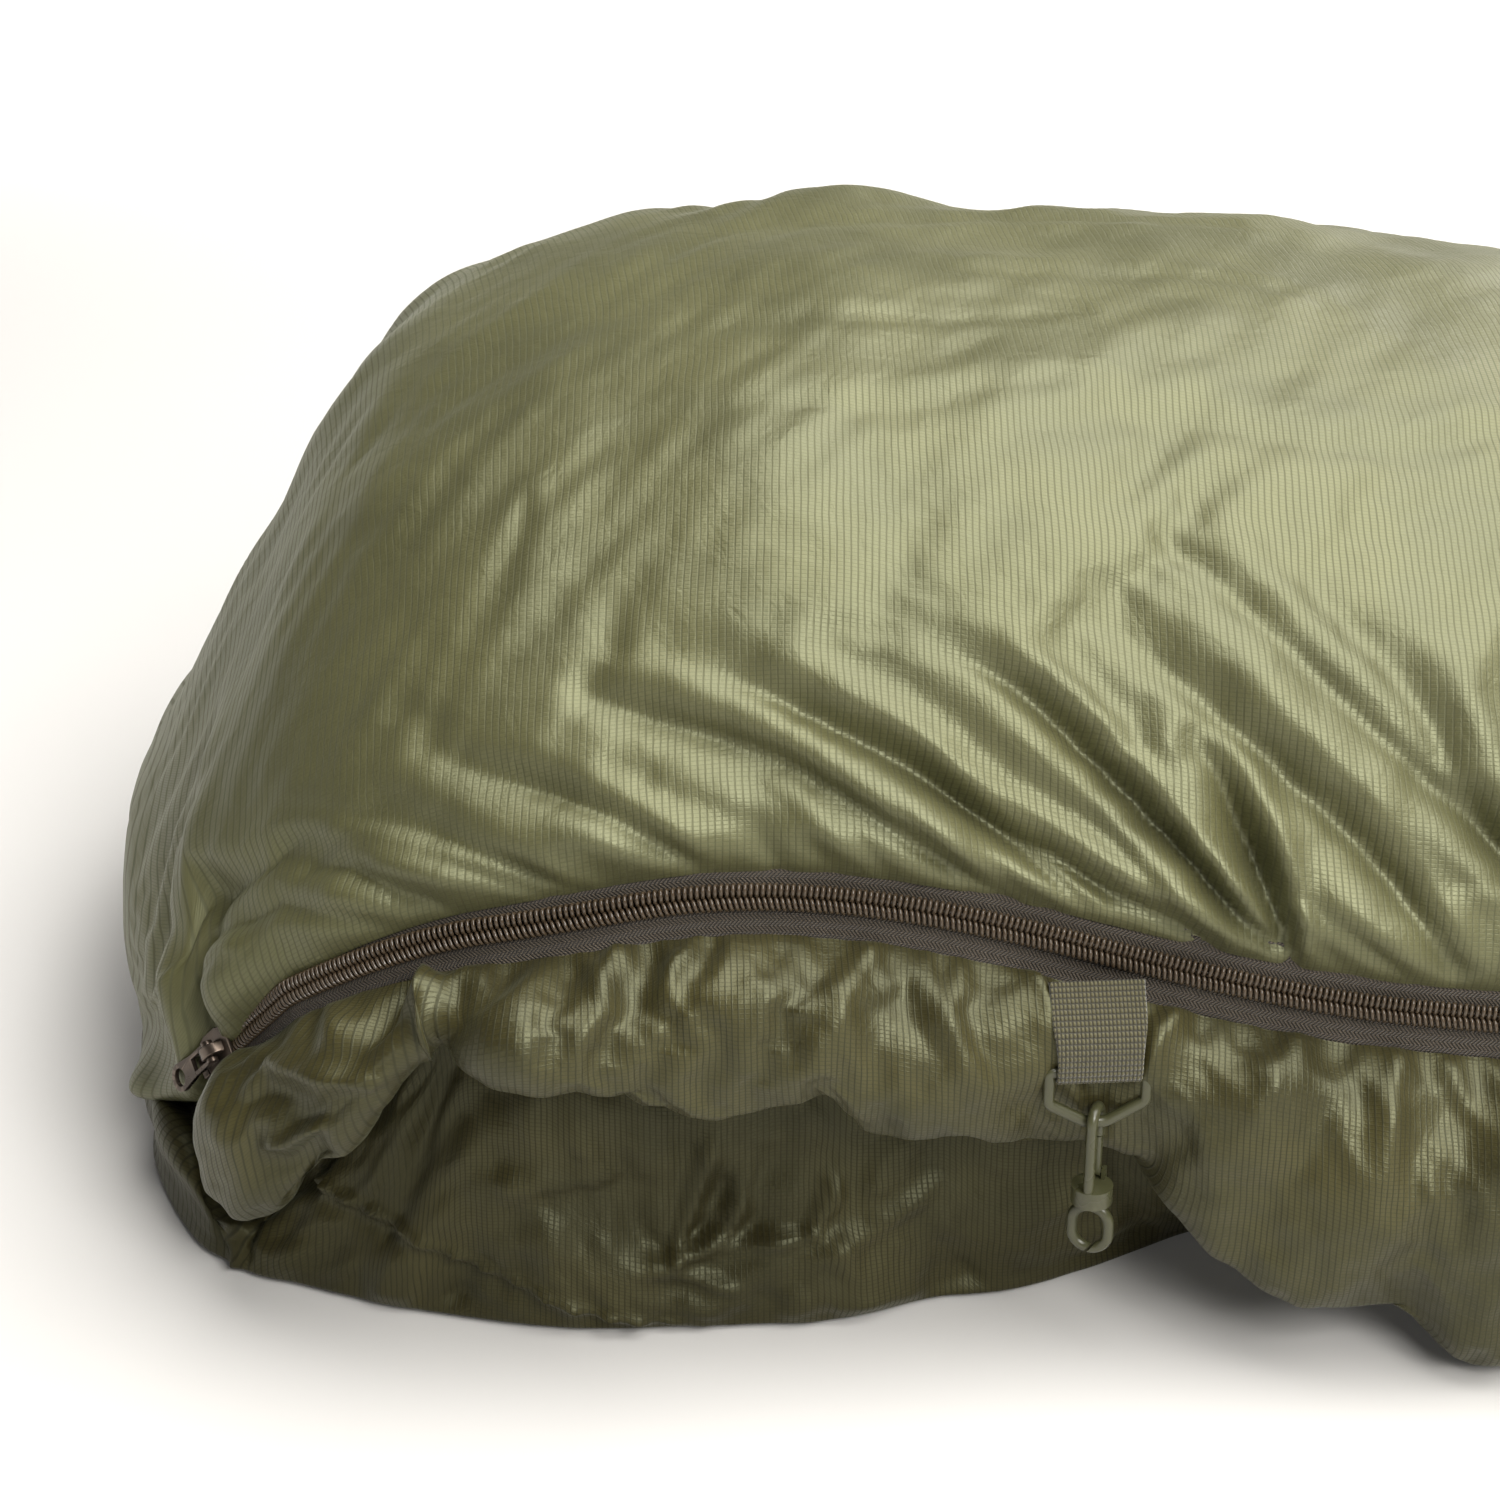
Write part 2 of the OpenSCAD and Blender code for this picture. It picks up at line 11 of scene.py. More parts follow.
import bpy
import numpy as np
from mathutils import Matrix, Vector


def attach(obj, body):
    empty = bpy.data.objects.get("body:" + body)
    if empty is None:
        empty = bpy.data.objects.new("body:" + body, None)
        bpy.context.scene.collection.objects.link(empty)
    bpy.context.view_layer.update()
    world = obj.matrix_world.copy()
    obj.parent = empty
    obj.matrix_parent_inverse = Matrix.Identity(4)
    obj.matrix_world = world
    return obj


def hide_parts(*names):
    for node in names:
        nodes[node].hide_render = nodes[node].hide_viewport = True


MM = 0.001
LENGTH = 2100.0
UPPER_END = 2060.0      # the upper shell's mouth
FOOT_X = -LENGTH / 2
BASE_Z = 2.4            # the outline's underside
DETAIL_END = 520.0      # the finest meshes reach this far from the foot end

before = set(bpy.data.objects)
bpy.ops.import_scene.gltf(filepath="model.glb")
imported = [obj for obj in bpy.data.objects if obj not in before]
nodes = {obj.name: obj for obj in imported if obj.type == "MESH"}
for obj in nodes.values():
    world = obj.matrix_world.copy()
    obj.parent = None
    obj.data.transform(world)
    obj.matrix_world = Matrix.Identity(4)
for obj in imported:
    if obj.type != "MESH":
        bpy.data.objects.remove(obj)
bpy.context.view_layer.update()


# ---- numbers

def ease(a, b, v):
    """Smooth step from 0 at a to 1 at b."""
    u = np.clip((np.asarray(v, float) - a) / (b - a), 0, 1)
    return u * u * (3 - 2 * u)


def dome(v, reach, power):
    """Quarter of a superellipse, from 0 at v = 0 to 1 at v = reach."""
    u = np.clip(1 - np.asarray(v, float) / reach, 0, 1)
    return (1 - u ** power) ** (1 / power)


def hump(v, width):
    return np.exp(-(v / width) ** 2)


def table(v, pairs):
    """A smooth curve through (place, value) pairs."""
    x = np.array([p[0] for p in pairs], float)
    y = np.array([p[1] for p in pairs], float)
    v = np.clip(np.asarray(v, float), x[0], x[-1])
    i = np.clip(np.searchsorted(x, v, side="right") - 1, 0, len(x) - 2)
    rise = np.diff(y) / np.diff(x)
    slope = np.concatenate([rise[:1], (rise[1:] + rise[:-1]) / 2, rise[-1:]])
    slope[1:-1][rise[1:] * rise[:-1] <= 0] = 0
    h = x[i + 1] - x[i]
    u = (v - x[i]) / h
    return ((1 + 2 * u) * (1 - u) ** 2 * y[i] + u * (1 - u) ** 2 * h * slope[i]
            + u * u * (3 - 2 * u) * y[i + 1] + u * u * (u - 1) * h * slope[i + 1])


def waves(u, v, length, seed, stretch=1.0, count=22):
    """A smooth random field with unit spread; stretch draws its bumps out along u."""
    rng = np.random.default_rng(seed)
    total = 0.0
    for _ in range(count):
        turn, phase = rng.uniform(0, 2 * math.pi, 2)
        k = 2 * math.pi / (length * rng.uniform(0.65, 1.5))
        total = total + np.sin(k * (u * math.cos(turn) / stretch + v * math.sin(turn)) + phase)
    return total * math.sqrt(2 / count)


def unit(v):
    return v / np.maximum(np.linalg.norm(v, axis=-1, keepdims=True), 1e-9)


def growing(start, stop, first, last, reach):
    """Places from start to stop whose steps grow from first to last over reach."""
    places = [start]
    while places[-1] < stop:
        places.append(places[-1] + first + (last - first) * float(ease(0, reach, places[-1] - start)))
    places[-1] = stop
    return np.array(places)


def nose_places(first, last, count):
    """Places that crowd towards the foot end, where the sack curves in fast."""
    return 300 * (1 - np.cos(np.linspace(first, last, count)))


def read_along(where, run, values):
    """The values at some places of a line, between its points at the distances run."""
    return np.stack([np.interp(where, run, values[:, k]) for k in range(values.shape[1])], -1)


# ---- the sack's outline

# Half widths at the foot, and what the knees and the shoulders add
FOOT_HALF, KNEE_GAIN, SHOULDER_GAIN = 204, 45, 121
# Height at the foot, and how much lower the legs and the head are
FOOT_HIGH, LEG_DROP, HEAD_DROP = 274, 61, 63
BELT_SHARE = 0.24       # the widest line's share of the height
ROUNDNESS = 2.3         # power of the superellipse that the section follows
PLAN_REACH = 165        # the foot end is round in plan over this length,
CROWN_REACH = 265       # in side view above the widest line over this one
FLOOR_REACH = 25        # and below it over this one
TUCK = 10               # how far the wall has come in at the floor


def half_width(t):
    return FOOT_HALF + KNEE_GAIN * ease(150, 700, t) + SHOULDER_GAIN * ease(500, 1500, t)


def crown(t):
    return FOOT_HIGH - LEG_DROP * ease(150, 600, t) - HEAD_DROP * np.maximum(0, (t - 900) / (LENGTH - 900))


def belt(t):
    return BELT_SHARE * crown(t)


def near_point(t, a, inset=(0, 0, 0, 0)):
    """A point on the near half. a runs from 90 on the crown to 0 at the widest line and -10 at
    the floor. inset is how far inside it lies at [sides, top, underside, foot end]."""
    t, a = np.broadcast_arrays(np.asarray(t, float), np.asarray(a, float))
    up = np.radians(np.clip(a, 0, 90))
    low = np.clip(-a, 0, 10) / 10
    power = 2 / ROUNDNESS
    end = t - inset[3]
    y = -(half_width(t) - inset[0]) * np.cos(up) ** power * dome(end, PLAN_REACH, 2.8 - 0.6 * np.sin(up))
    y = y + TUCK * dome(end, PLAN_REACH, 2) * low
    rise = (crown(t) - inset[1] - belt(t)) * dome(end, CROWN_REACH, 1.8) * np.sin(up) ** power
    drop = (belt(t) - BASE_Z - inset[2]) * dome(end, FLOOR_REACH, 2) * low
    return np.stack([FOOT_X + t, y, belt(t) + rise - drop], -1)


def body_point(t, a, inset=(0, 0, 0, 0)):
    """The same all the way round: a runs on to 190 at the floor on the far side."""
    a = np.asarray(a, float)
    p = near_point(t, np.where(a <= 90, a, 180 - a), inset)
    p[..., 1] = np.where(a <= 90, p[..., 1], -p[..., 1])
    return p


def angle_of(t, z):
    """The angle of the near wall at the height z."""
    rise = (crown(t) - belt(t)) * dome(t, CROWN_REACH, 1.8)
    up = np.degrees(np.arcsin(np.clip((z - belt(t)) / np.maximum(rise, 1), 0, 1) ** (ROUNDNESS / 2)))
    down = 10 * (belt(t) - z) / ((belt(t) - BASE_Z) * np.maximum(dome(t, FLOOR_REACH, 2), 0.05))
    return np.where(z >= belt(t), up, -np.clip(down, 0, 10))


def plan_line(t):
    """The widest line on the near side: its points in plan, and its outward normals."""
    def at(v):
        return np.stack([FOOT_X + v, -half_width(v) * dome(v, PLAN_REACH, 2.8)], -1)
    along = unit(at(t + 0.2) - at(np.maximum(t - 0.2, 0)))
    return at(t), np.stack([along[..., 1], -along[..., 0]], -1)


# ---- the zip's path

ZIP_INSET = (4.6, 4.6, 0, 4.6)      # how far inside the outline the zip lies
FOOT_STRAIGHT = (35.0, 60.0)        # the zip runs straight here, where the foot slider moves,
HEAD_STRAIGHT = (1700.0, 2054.0)    # and here, where the head slider moves
TAPE_EARLY = 6.0                    # the tapes begin this far before the first straight


def zip_angle(t):
    """The angle on the near wall at which the zip runs."""
    return -4 + dome(t - 34, 80, 2) * (14 + 5 * t / LENGTH + 8 * (1 - ease(150, 360, t)))


def zip_point(t):
    return near_point(t, zip_angle(t), ZIP_INSET)


def zip_tilt(t):
    """How far the wall leans in at the zip, in radians."""
    d = near_point(t, zip_angle(t) + 2, ZIP_INSET) - near_point(t, np.maximum(0, zip_angle(t) - 2), ZIP_INSET)
    return np.arctan2(d[..., 1], d[..., 2])


def zip_frames(step_near, step_far):
    """Frames along the zip: distance along it, points, and directions along, across and out."""
    a, b = FOOT_STRAIGHT
    c, d = HEAD_STRAIGHT
    middle = growing(b, c, 2.0, 8.0, 900)[1:-1]
    ends = zip_point(np.array([a, b, c, d]))
    foot_dir = unit(ends[1] - ends[0])
    points = np.concatenate([[ends[0] - TAPE_EARLY * foot_dir], ends[:2], zip_point(middle), ends[2:]])
    t_all = np.concatenate([[a, a, b], middle, [c, d]])
    mid_tilt = zip_tilt(np.clip(t_all, 64, 1640))
    tilt = np.where(t_all <= b, zip_tilt(np.array((a + b) / 2)),
                    np.where(t_all >= c, zip_tilt(np.array((c + d) / 2)), mid_tilt))
    run = np.concatenate([[0], np.cumsum(np.linalg.norm(np.diff(points, axis=0), axis=1))])
    fine = growing(0, run[-1], step_near, step_far, 700)
    p = read_along(fine, run, points)
    tilts = np.interp(fine, run, tilt)[:, None]
    along = unit(np.gradient(p, fine, axis=0))
    out = unit(np.cross(along, [0, 0, 1]))
    up = np.cross(out, along)
    across = up * np.cos(tilts) - out * np.sin(tilts)
    outward = out * np.cos(tilts) + up * np.sin(tilts)
    return fine, p, along, across, outward


# ---- meshes

def smooth(mesh):
    mesh.polygons.foreach_set("use_smooth", [True] * len(mesh.polygons))


def add_object(name, data):
    obj = bpy.data.objects.new(name, data)
    bpy.context.scene.collection.objects.link(obj)
    return obj


def new_object(name, verts, faces, body, material, cloth=None):
    """A mesh piece from points in millimetres. cloth holds each point's place on the flat cloth."""
    mesh = bpy.data.meshes.new(name)
    faces = faces.tolist() if isinstance(faces, np.ndarray) else faces
    mesh.from_pydata((np.asarray(verts) * MM).tolist(), [], faces)
    if cloth is not None:
        values = np.zeros((len(verts), 3), np.float32)
        values[:, :2] = np.asarray(cloth, np.float32).reshape(-1, 2)
        layer = mesh.attributes.new("cloth", "FLOAT_VECTOR", "POINT")
        layer.data.foreach_set("vector", values.ravel())
    smooth(mesh)
    mesh.materials.append(material)
    mesh.update()
    obj = add_object(name, mesh)
    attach(obj, body)
    return obj


def grid_faces(rows, cols, wrap=False, flip=False):
    i, j = np.meshgrid(np.arange(rows - 1), np.arange(cols if wrap else cols - 1), indexing="ij")
    a = i * cols + j
    b = i * cols + (j + 1) % cols
    quads = np.stack([a, a + cols, b + cols, b], -1).reshape(-1, 4)
    return quads[:, ::-1] if flip else quads


def cloth_piece(name, points, material, u, s, flip=False):
    """A grid of cloth on the sack. u and s are its points' places on the flat cloth."""
    faces = grid_faces(*points.shape[:2], flip=flip)
    cloth = np.stack(np.broadcast_arrays(u, s), -1)
    return new_object(name, points.reshape(-1, 3), faces, "sack", material, cloth)


def grid_normals(points):
    return unit(np.cross(np.gradient(points, axis=1), np.gradient(points, axis=0)))


def raised(points, relief, normal):
    return points + relief[..., None] * normal


def run_along(points, axis):
    """Distance along a grid's rows or columns."""
    d = np.linalg.norm(np.diff(points, axis=axis), axis=-1)
    start = np.zeros_like(np.take(d, [0], axis=axis))
    return np.concatenate([start, np.cumsum(d, axis=axis)], axis=axis)


def spline(controls, count):
    """Points of a clamped cubic B-spline. controls has shape (points, rows, dimensions)."""
    n = len(controls)
    knots = np.concatenate([[0] * 3, np.arange(n - 2), [n - 3] * 3]).astype(float)
    u = np.linspace(0, n - 3 - 1e-9, count)
    basis = np.array([(knots[i] <= u) & (u < knots[i + 1]) for i in range(n + 3)], float)
    for degree in (1, 2, 3):
        left = np.zeros((n + 3 - degree, count))
        for i in range(n + 3 - degree):
            a, b = knots[i + degree] - knots[i], knots[i + degree + 1] - knots[i + 1]
            if a > 0:
                left[i] += (u - knots[i]) / a * basis[i]
            if b > 0:
                left[i] += (knots[i + degree + 1] - u) / b * basis[i + 1]
        basis = left
    return np.einsum("pc,prd->rcd", basis[:n], controls)


# ---- cloth simulation

def spread_matrix(coarse, fine, step):
    """Weights that carry values at every step-th place to all the places, on smooth curves."""
    x = np.arange(fine) / step
    i = np.clip(x.astype(int), 0, coarse - 2)
    f = x - i
    w = np.zeros((fine, coarse))
    weights = (-0.5 * f + f * f - 0.5 * f ** 3, 1 - 2.5 * f * f + 1.5 * f ** 3,
               0.5 * f + 2 * f * f - 1.5 * f ** 3, -0.5 * f * f + 0.5 * f ** 3)
    for k, part in enumerate(weights):
        np.add.at(w, (np.arange(fine), np.clip(i + k - 1, 0, coarse - 1)), part)
    return w


def held_edges(shape, rows, cols):
    """Marks a grid's outer rows and columns, each given as (how many first, how many last)."""
    held = np.zeros(shape, bool)
    held[:rows[0]] = True
    held[-rows[1]:] = True
    held[:, :cols[0]] = True
    held[:, -cols[1]:] = True
    return held


def settle(points, every, held, growth, push, cap, bending, frames=24):
    """How a grid of cloth moves when it grows a little between its held places and buckles.
    Only every so many rows and columns are simulated. growth is the surplus, push the pressure
    of the filling on it in Blender's units, cap the longest move in millimetres and bending the
    cloth's stiffness."""
    coarse = points[::every[0], ::every[1]]
    pins = held[::every[0], ::every[1]]
    rows, cols = coarse.shape[:2]
    mesh = bpy.data.meshes.new("settling")
    mesh.from_pydata((coarse.reshape(-1, 3) * MM).tolist(), [], grid_faces(rows, cols).tolist())
    obj = add_object("settling", mesh)
    scene = bpy.context.scene
    group = obj.vertex_groups.new(name="held")
    group.add(np.nonzero(pins.ravel())[0].tolist(), 1.0, "REPLACE")
    cloth = obj.modifiers.new("cloth", "CLOTH")
    cloth.settings.quality = 6
    cloth.settings.mass = 0.12
    cloth.settings.tension_stiffness = 25
    cloth.settings.compression_stiffness = 25
    cloth.settings.shear_stiffness = 8
    cloth.settings.bending_stiffness = bending
    cloth.settings.air_damping = 2
    cloth.settings.vertex_group_mass = "held"
    cloth.settings.shrink_min = -growth
    cloth.settings.use_pressure = True
    cloth.settings.uniform_pressure_force = push
    cloth.settings.effector_weights.gravity = 0
    cloth.collision_settings.use_collision = False
    cloth.point_cache.frame_end = frames
    for frame_number in range(1, frames + 1):
        scene.frame_set(frame_number)
    settled = obj.evaluated_get(bpy.context.evaluated_depsgraph_get()).data
    flat = np.empty(rows * cols * 3)
    settled.vertices.foreach_get("co", flat)
    move = flat.reshape(rows, cols, 3) / MM - coarse
    move[~np.isfinite(move)] = 0
    length = np.linalg.norm(move, axis=-1, keepdims=True)
    move *= np.minimum(1, cap * np.tanh(length / cap) / np.maximum(length, 1e-6))
    scene.frame_set(1)
    bpy.data.objects.remove(obj)
    bpy.data.meshes.remove(mesh)
    up = spread_matrix(rows, points.shape[0], every[0])
    side = spread_matrix(cols, points.shape[1], every[1])
    return np.einsum("ir,rck,jc->ijk", up, move, side, optimize=True)


# ---- folds

def crease(u, v, path, depth, width, lip=0.45, skew=1.0):
    """A fold along a smooth path of (u, v) points: a valley with a raised lip on each side.
    It is deepest in the middle of the path and dies out at its start. skew widens one side."""
    path = np.array(path, float)
    s = np.linspace(0, 1, 36)
    knots = np.linspace(0, 1, len(path))
    line = np.stack([table(s, list(zip(knots, path[:, k]))) for k in (0, 1)], -1)
    reach = width * 6
    lo, hi = line.min(0) - reach, line.max(0) + reach
    near = (u > lo[0]) & (u < hi[0]) & (v > lo[1]) & (v < hi[1])
    out = np.zeros(u.shape)
    if not near.any():
        return out
    p = np.stack([u[near], v[near]], -1)
    a, b = line[:-1], line[1:]
    ab = b - a
    best = np.full(len(p), 1e9)
    side = np.zeros(len(p))
    place = np.zeros(len(p))
    for k in range(len(ab)):
        f = np.clip(((p - a[k]) @ ab[k]) / (ab[k] @ ab[k]), 0, 1)
        d = p - a[k] - f[:, None] * ab[k]
        dist = np.hypot(d[:, 0], d[:, 1])
        closer = dist < best
        best = np.where(closer, dist, best)
        side = np.where(closer, np.sign(ab[k, 0] * d[:, 1] - ab[k, 1] * d[:, 0]), side)
        place = np.where(closer, (k + f) / len(ab), place)
    w = width * (0.55 + 0.75 * (1 - place)) * np.where(side > 0, skew, 1.0)
    strength = ease(0, 0.45, place) * (1 - 0.25 * ease(0.85, 1, place))
    valley = np.exp(-np.sqrt((best / w) ** 2 + 0.12) + 0.35)
    lips = hump(best - 2.4 * w, 1.5 * w)
    out[near] = depth * strength * (lip * lips - valley)
    return out


def add_creases(relief, u, v, folds, where=1, **shape):
    """Adds a list of (path, depth, width) folds to the relief, where the mask where allows it."""
    for path, depth, width in folds:
        relief += crease(u, v, path, depth, width, **shape) * where


def gathers(u, v, places, seed, depth, width, reach, lean):
    """Many short folds that start at an edge at v = 0. depth, width, reach and lean are ranges."""
    rng = np.random.default_rng(seed)
    out = np.zeros(u.shape)
    for place in places:
        d = rng.uniform(*depth)
        w = rng.uniform(*width)
        r = rng.uniform(*reach)
        k = rng.uniform(*lean)
        bend = rng.uniform(-0.2, 0.2)
        near = np.abs(u - place) < 8 * w + abs(k) * r * 2.5
        if not near.any():
            continue
        x = u[near] - place - k * v[near] - bend * v[near] ** 2 / r
        spread = w * (1 + 0.9 * v[near] / r)
        fade = np.exp(-(v[near] / r) ** 2)
        valley = np.exp(-np.sqrt((x / spread) ** 2 + 0.1) + 0.3)
        out[near] += d * fade * (0.4 * hump(np.abs(x) - 2.3 * spread, 1.5 * spread) - valley)
    return out


def scattered(start, stop, step, seed):
    """Places with uneven gaps, on average step apart."""
    rng = np.random.default_rng(seed)
    places = [start]
    while places[-1] < stop:
        places.append(places[-1] + step * rng.uniform(0.45, 1.7))
    return places


# ---- materials

class Shader:
    """A new material and its main shader, with short ways to add nodes."""

    def __init__(self, name):
        self.material = bpy.data.materials.new(name)
        self.material.use_nodes = True
        self.tree = self.material.node_tree
        self.main = self.tree.nodes["Principled BSDF"]

    def feed(self, node, values):
        """Gives each named or numbered input a node's output, a number or a colour."""
        for key, value in values.items():
            socket = node.inputs[key]
            if isinstance(value, bpy.types.NodeSocket):
                self.tree.links.new(value, socket)
            elif socket.type == "RGBA":
                socket.default_value = (*value, 1)
            else:
                socket.default_value = value
        return node

    def new(self, kind):
        return self.tree.nodes.new("ShaderNode" + kind)

    def math(self, operation, a, b=0.0):
        node = self.new("Math")
        node.operation = operation
        return self.feed(node, {0: a, 1: b}).outputs[0]

    def times(self, a, b):
        return self.math("MULTIPLY", a, b)

    def plus(self, a, b):
        return self.math("ADD", a, b)

    def repeat(self, value, pitch):
        """Runs from 0 to 0.5 and back within each pitch."""
        return self.math("PINGPONG", self.math("DIVIDE", value, pitch), 0.5)

    def ramp(self, value, low, high, out_low=0.0, out_high=1.0):
        node = self.new("MapRange")
        node.interpolation_type = "SMOOTHSTEP"
        return self.feed(node, {0: value, 1: low, 2: high, 3: out_low, 4: out_high}).outputs[0]

    def mix(self, factor, a, b):
        node = self.new("Mix")
        node.data_type = "RGBA"
        return self.feed(node, {0: factor, 6: a, 7: b}).outputs[2]

    def noise(self, place, scale, detail=2.0, roughness=0.5, distortion=0.0):
        return self.feed(self.new("TexNoise"), {
            "Vector": place, "Scale": scale, "Detail": detail, "Roughness": roughness,
            "Distortion": distortion}).outputs["Fac"]

    def bump(self, height, distance, strength):
        """Lays a bump over the ones already there."""
        node = self.feed(self.new("Bump"), {"Distance": distance, "Strength": strength, "Height": height})
        below = self.main.inputs["Normal"]
        if below.is_linked:
            self.feed(node, {"Normal": below.links[0].from_socket})
        self.feed(self.main, {"Normal": node.outputs[0]})

    def object_place(self):
        return self.new("TexCoord").outputs["Object"]

    def cloth_place(self):
        """The place on the flat cloth, in millimetres: as a vector, along and across."""
        node = self.new("Attribute")
        node.attribute_name = "cloth"
        split = self.feed(self.new("SeparateXYZ"), {0: node.outputs["Vector"]})
        return node.outputs["Vector"], split.outputs[0], split.outputs[1]


def ripstop(name, thread, cell, painted_glint, pitch, roughness, gloss):
    """Coated nylon with a small ripstop grid: darker ribs, glossy cells that catch the light.
    pitch is the grid's spacing along the sack and round it, in millimetres."""
    m = Shader(name)
    place, along, around = m.cloth_place()
    wander = m.times(m.noise(place, 0.05), 0.8)
    rib = m.ramp(m.repeat(m.plus(along, wander), pitch[0]), 0.02, 0.2)
    row = m.ramp(m.repeat(around, pitch[1]), 0.02, 0.2)
    inside = m.times(rib, m.plus(m.times(row, 0.55), 0.45))
    # Painted glints: the cells' colour turns lighter and yellower in broad patches and in single-cell specks
    patch = m.noise(place, 0.02, 3, 0.6)
    tone = m.mix(m.ramp(patch, 0.35, 0.65), cell, painted_glint)
    sparkle_specks = m.times(m.ramp(m.noise(place, 1.3, 1), 0.4, 0.75), 0.5)
    rough = m.ramp(inside, 0, 1, roughness + 0.16, roughness - 0.03)
    m.bump(m.noise(place, 0.11, 4, 0.55, 0.6), 0.0011, 0.5)
    m.bump(inside, 0.0001, 0.55)
    m.feed(m.main, {
        "Base Color": m.mix(inside, thread, m.mix(sparkle_specks, tone, painted_glint)),
        "Roughness": m.plus(rough, m.times(patch, 0.08)),
        "Specular IOR Level": gloss, "Specular Tint": (0.93, 0.97, 0.66),
        "Sheen Weight": 0.05, "Sheen Roughness": 0.4, "Sheen Tint": (0.8, 0.86, 0.62)})
    return m.material


def herringbone(name, dark, light):
    """Zip tape: fine twill whose slant turns at the middle of the tape."""
    m = Shader(name)
    place, along, across = m.cloth_place()
    twill = m.repeat(m.plus(along, m.math("PINGPONG", across, 1.6)), 1.1)
    thread = m.repeat(across, 0.55)
    height = m.times(m.ramp(twill, 0.05, 0.4), m.ramp(thread, 0.0, 0.3, 0.4, 1))
    fuzz = m.ramp(m.noise(place, 2.2, 3), 0.2, 0.8, 0.6, 1)
    m.bump(height, 0.0007, 1.0)
    m.feed(m.main, {"Base Color": m.mix(m.times(height, fuzz), dark, light), "Roughness": 0.72,
                    "Sheen Weight": 0.15})
    return m.material


WEAVE = (1.5, 1.05)     # spacing of the webbing's threads along and across it


def webbing(name, dark, light):
    """Plain-woven nylon webbing."""
    m = Shader(name)
    place, along, across = m.cloth_place()
    ups = [m.math("SINE", m.times(m.math("DIVIDE", v, pitch), math.pi))
           for v, pitch in zip((along, across), WEAVE)]
    over = m.math("ABSOLUTE", m.times(*ups))
    fibre = m.noise(place, 3.0, 3)
    shade = m.times(m.ramp(over, 0, 0.8), m.ramp(fibre, 0.25, 0.75, 0.5, 1))
    m.bump(m.plus(over, m.times(fibre, 0.3)), 0.0005, 0.9)
    m.feed(m.main, {"Base Color": m.mix(shade, dark, light), "Roughness": 0.62, "Sheen Weight": 0.25})
    return m.material


def wear(m, cloud, colour, worn, edge_high, patches, rough):
    """Paler paint on rubbed edges, in patches, and a shine that varies between two roughnesses."""
    edge = m.new("NewGeometry").outputs["Pointiness"]
    rubbed = m.times(m.ramp(edge, 0.5, edge_high), m.ramp(cloud, *patches))
    m.feed(m.main, {"Base Color": m.mix(rubbed, colour, worn), "Roughness": m.ramp(cloud, 0.3, 0.7, *rough)})


def moulded(name, colour, worn, roughness):
    """Moulded plastic with a faint grain and paler, rubbed edges."""
    m = Shader(name)
    place = m.object_place()
    wear(m, m.noise(place, 70, 3), colour, worn, 0.6, (0.4, 0.7), (roughness - 0.05, roughness + 0.08))
    m.bump(m.noise(place, 900), 0.00005, 0.5)
    return m.material


def painted_metal(name, colour, worn):
    m = Shader(name)
    cloud = m.noise(m.object_place(), 160, 4)
    wear(m, cloud, colour, worn, 0.57, (0.35, 0.6), (0.24, 0.4))
    m.feed(m.main, {"Metallic": 0.85})
    m.bump(cloud, 0.00004, 0.5)
    return m.material


# The third colour of each ripstop is the colour of its painted glints
TOP_CLOTH = ripstop("top_cloth", thread=(0.04, 0.038, 0.015), cell=(0.053, 0.0505, 0.02),
                    painted_glint=(0.075, 0.071, 0.028), pitch=(1.9, 1.1), roughness=0.46, gloss=1.0)
# The side cloth is the top's ripstop painted much darker: painted shade for the side panels under the top's
# overhang
SHADED_SIDE_CLOTH = ripstop("side_cloth", thread=(0.015, 0.0125, 0.004), cell=(0.021, 0.0175, 0.0055),
                     painted_glint=(0.046, 0.039, 0.013), pitch=(1.6, 1.05), roughness=0.4, gloss=0.55)
# The base cloth is darker still: partly the groundsheet's own darker tone, partly painted shade where the
# base lies low in the shadow of the roll
SHADED_BASE_CLOTH = ripstop("base_cloth", thread=(0.012, 0.0095, 0.003), cell=(0.019, 0.0155, 0.005),
                     painted_glint=(0.036, 0.03, 0.01), pitch=(1.6, 1.05), roughness=0.46, gloss=0.4)
LINING = ripstop("lining_cloth", thread=(0.02, 0.02, 0.014), cell=(0.035, 0.035, 0.024),
                 painted_glint=(0.045, 0.045, 0.03), pitch=(1.6, 1.1), roughness=0.5, gloss=0.4)
TAPE = herringbone("zip_tape", (0.016, 0.011, 0.006), (0.13, 0.098, 0.062))
COIL = moulded("zip_coil", (0.06, 0.042, 0.026), (0.15, 0.115, 0.075), 0.2)
WEBBING = webbing("webbing", (0.018, 0.015, 0.005), (0.105, 0.093, 0.036))
METAL = painted_metal("slider_metal", (0.05, 0.038, 0.03), (0.16, 0.125, 0.1))
PLASTIC = moulded("ring_plastic", (0.052, 0.052, 0.024), (0.1, 0.1, 0.055), 0.3)


# ---- upper shell

BORDER_UP = 8.0         # the shell's edge lies this far above the middle of the zip
# The side panel's edge lies this far below it, by distance along the zip
BORDER_DOWN = [(0, 6.0), (30, 6.5), (70, 7.5), (130, 9.5), (240, 10.5), (2100, 11)]


def border_angle(t, across_by):
    """The wall's angle on a line beside the zip."""
    _, p, _, across, _ = zip_frames(1.5, 6.0)
    q = p + across_by * across
    q = q[np.argsort(q[:, 0])]
    at_t = q[:, 0] - FOOT_X
    return np.interp(t, at_t, angle_of(at_t, q[:, 2]))


SHELL_START = 29.0      # the zip's end, where the shell's edge leaves the zip for the corner


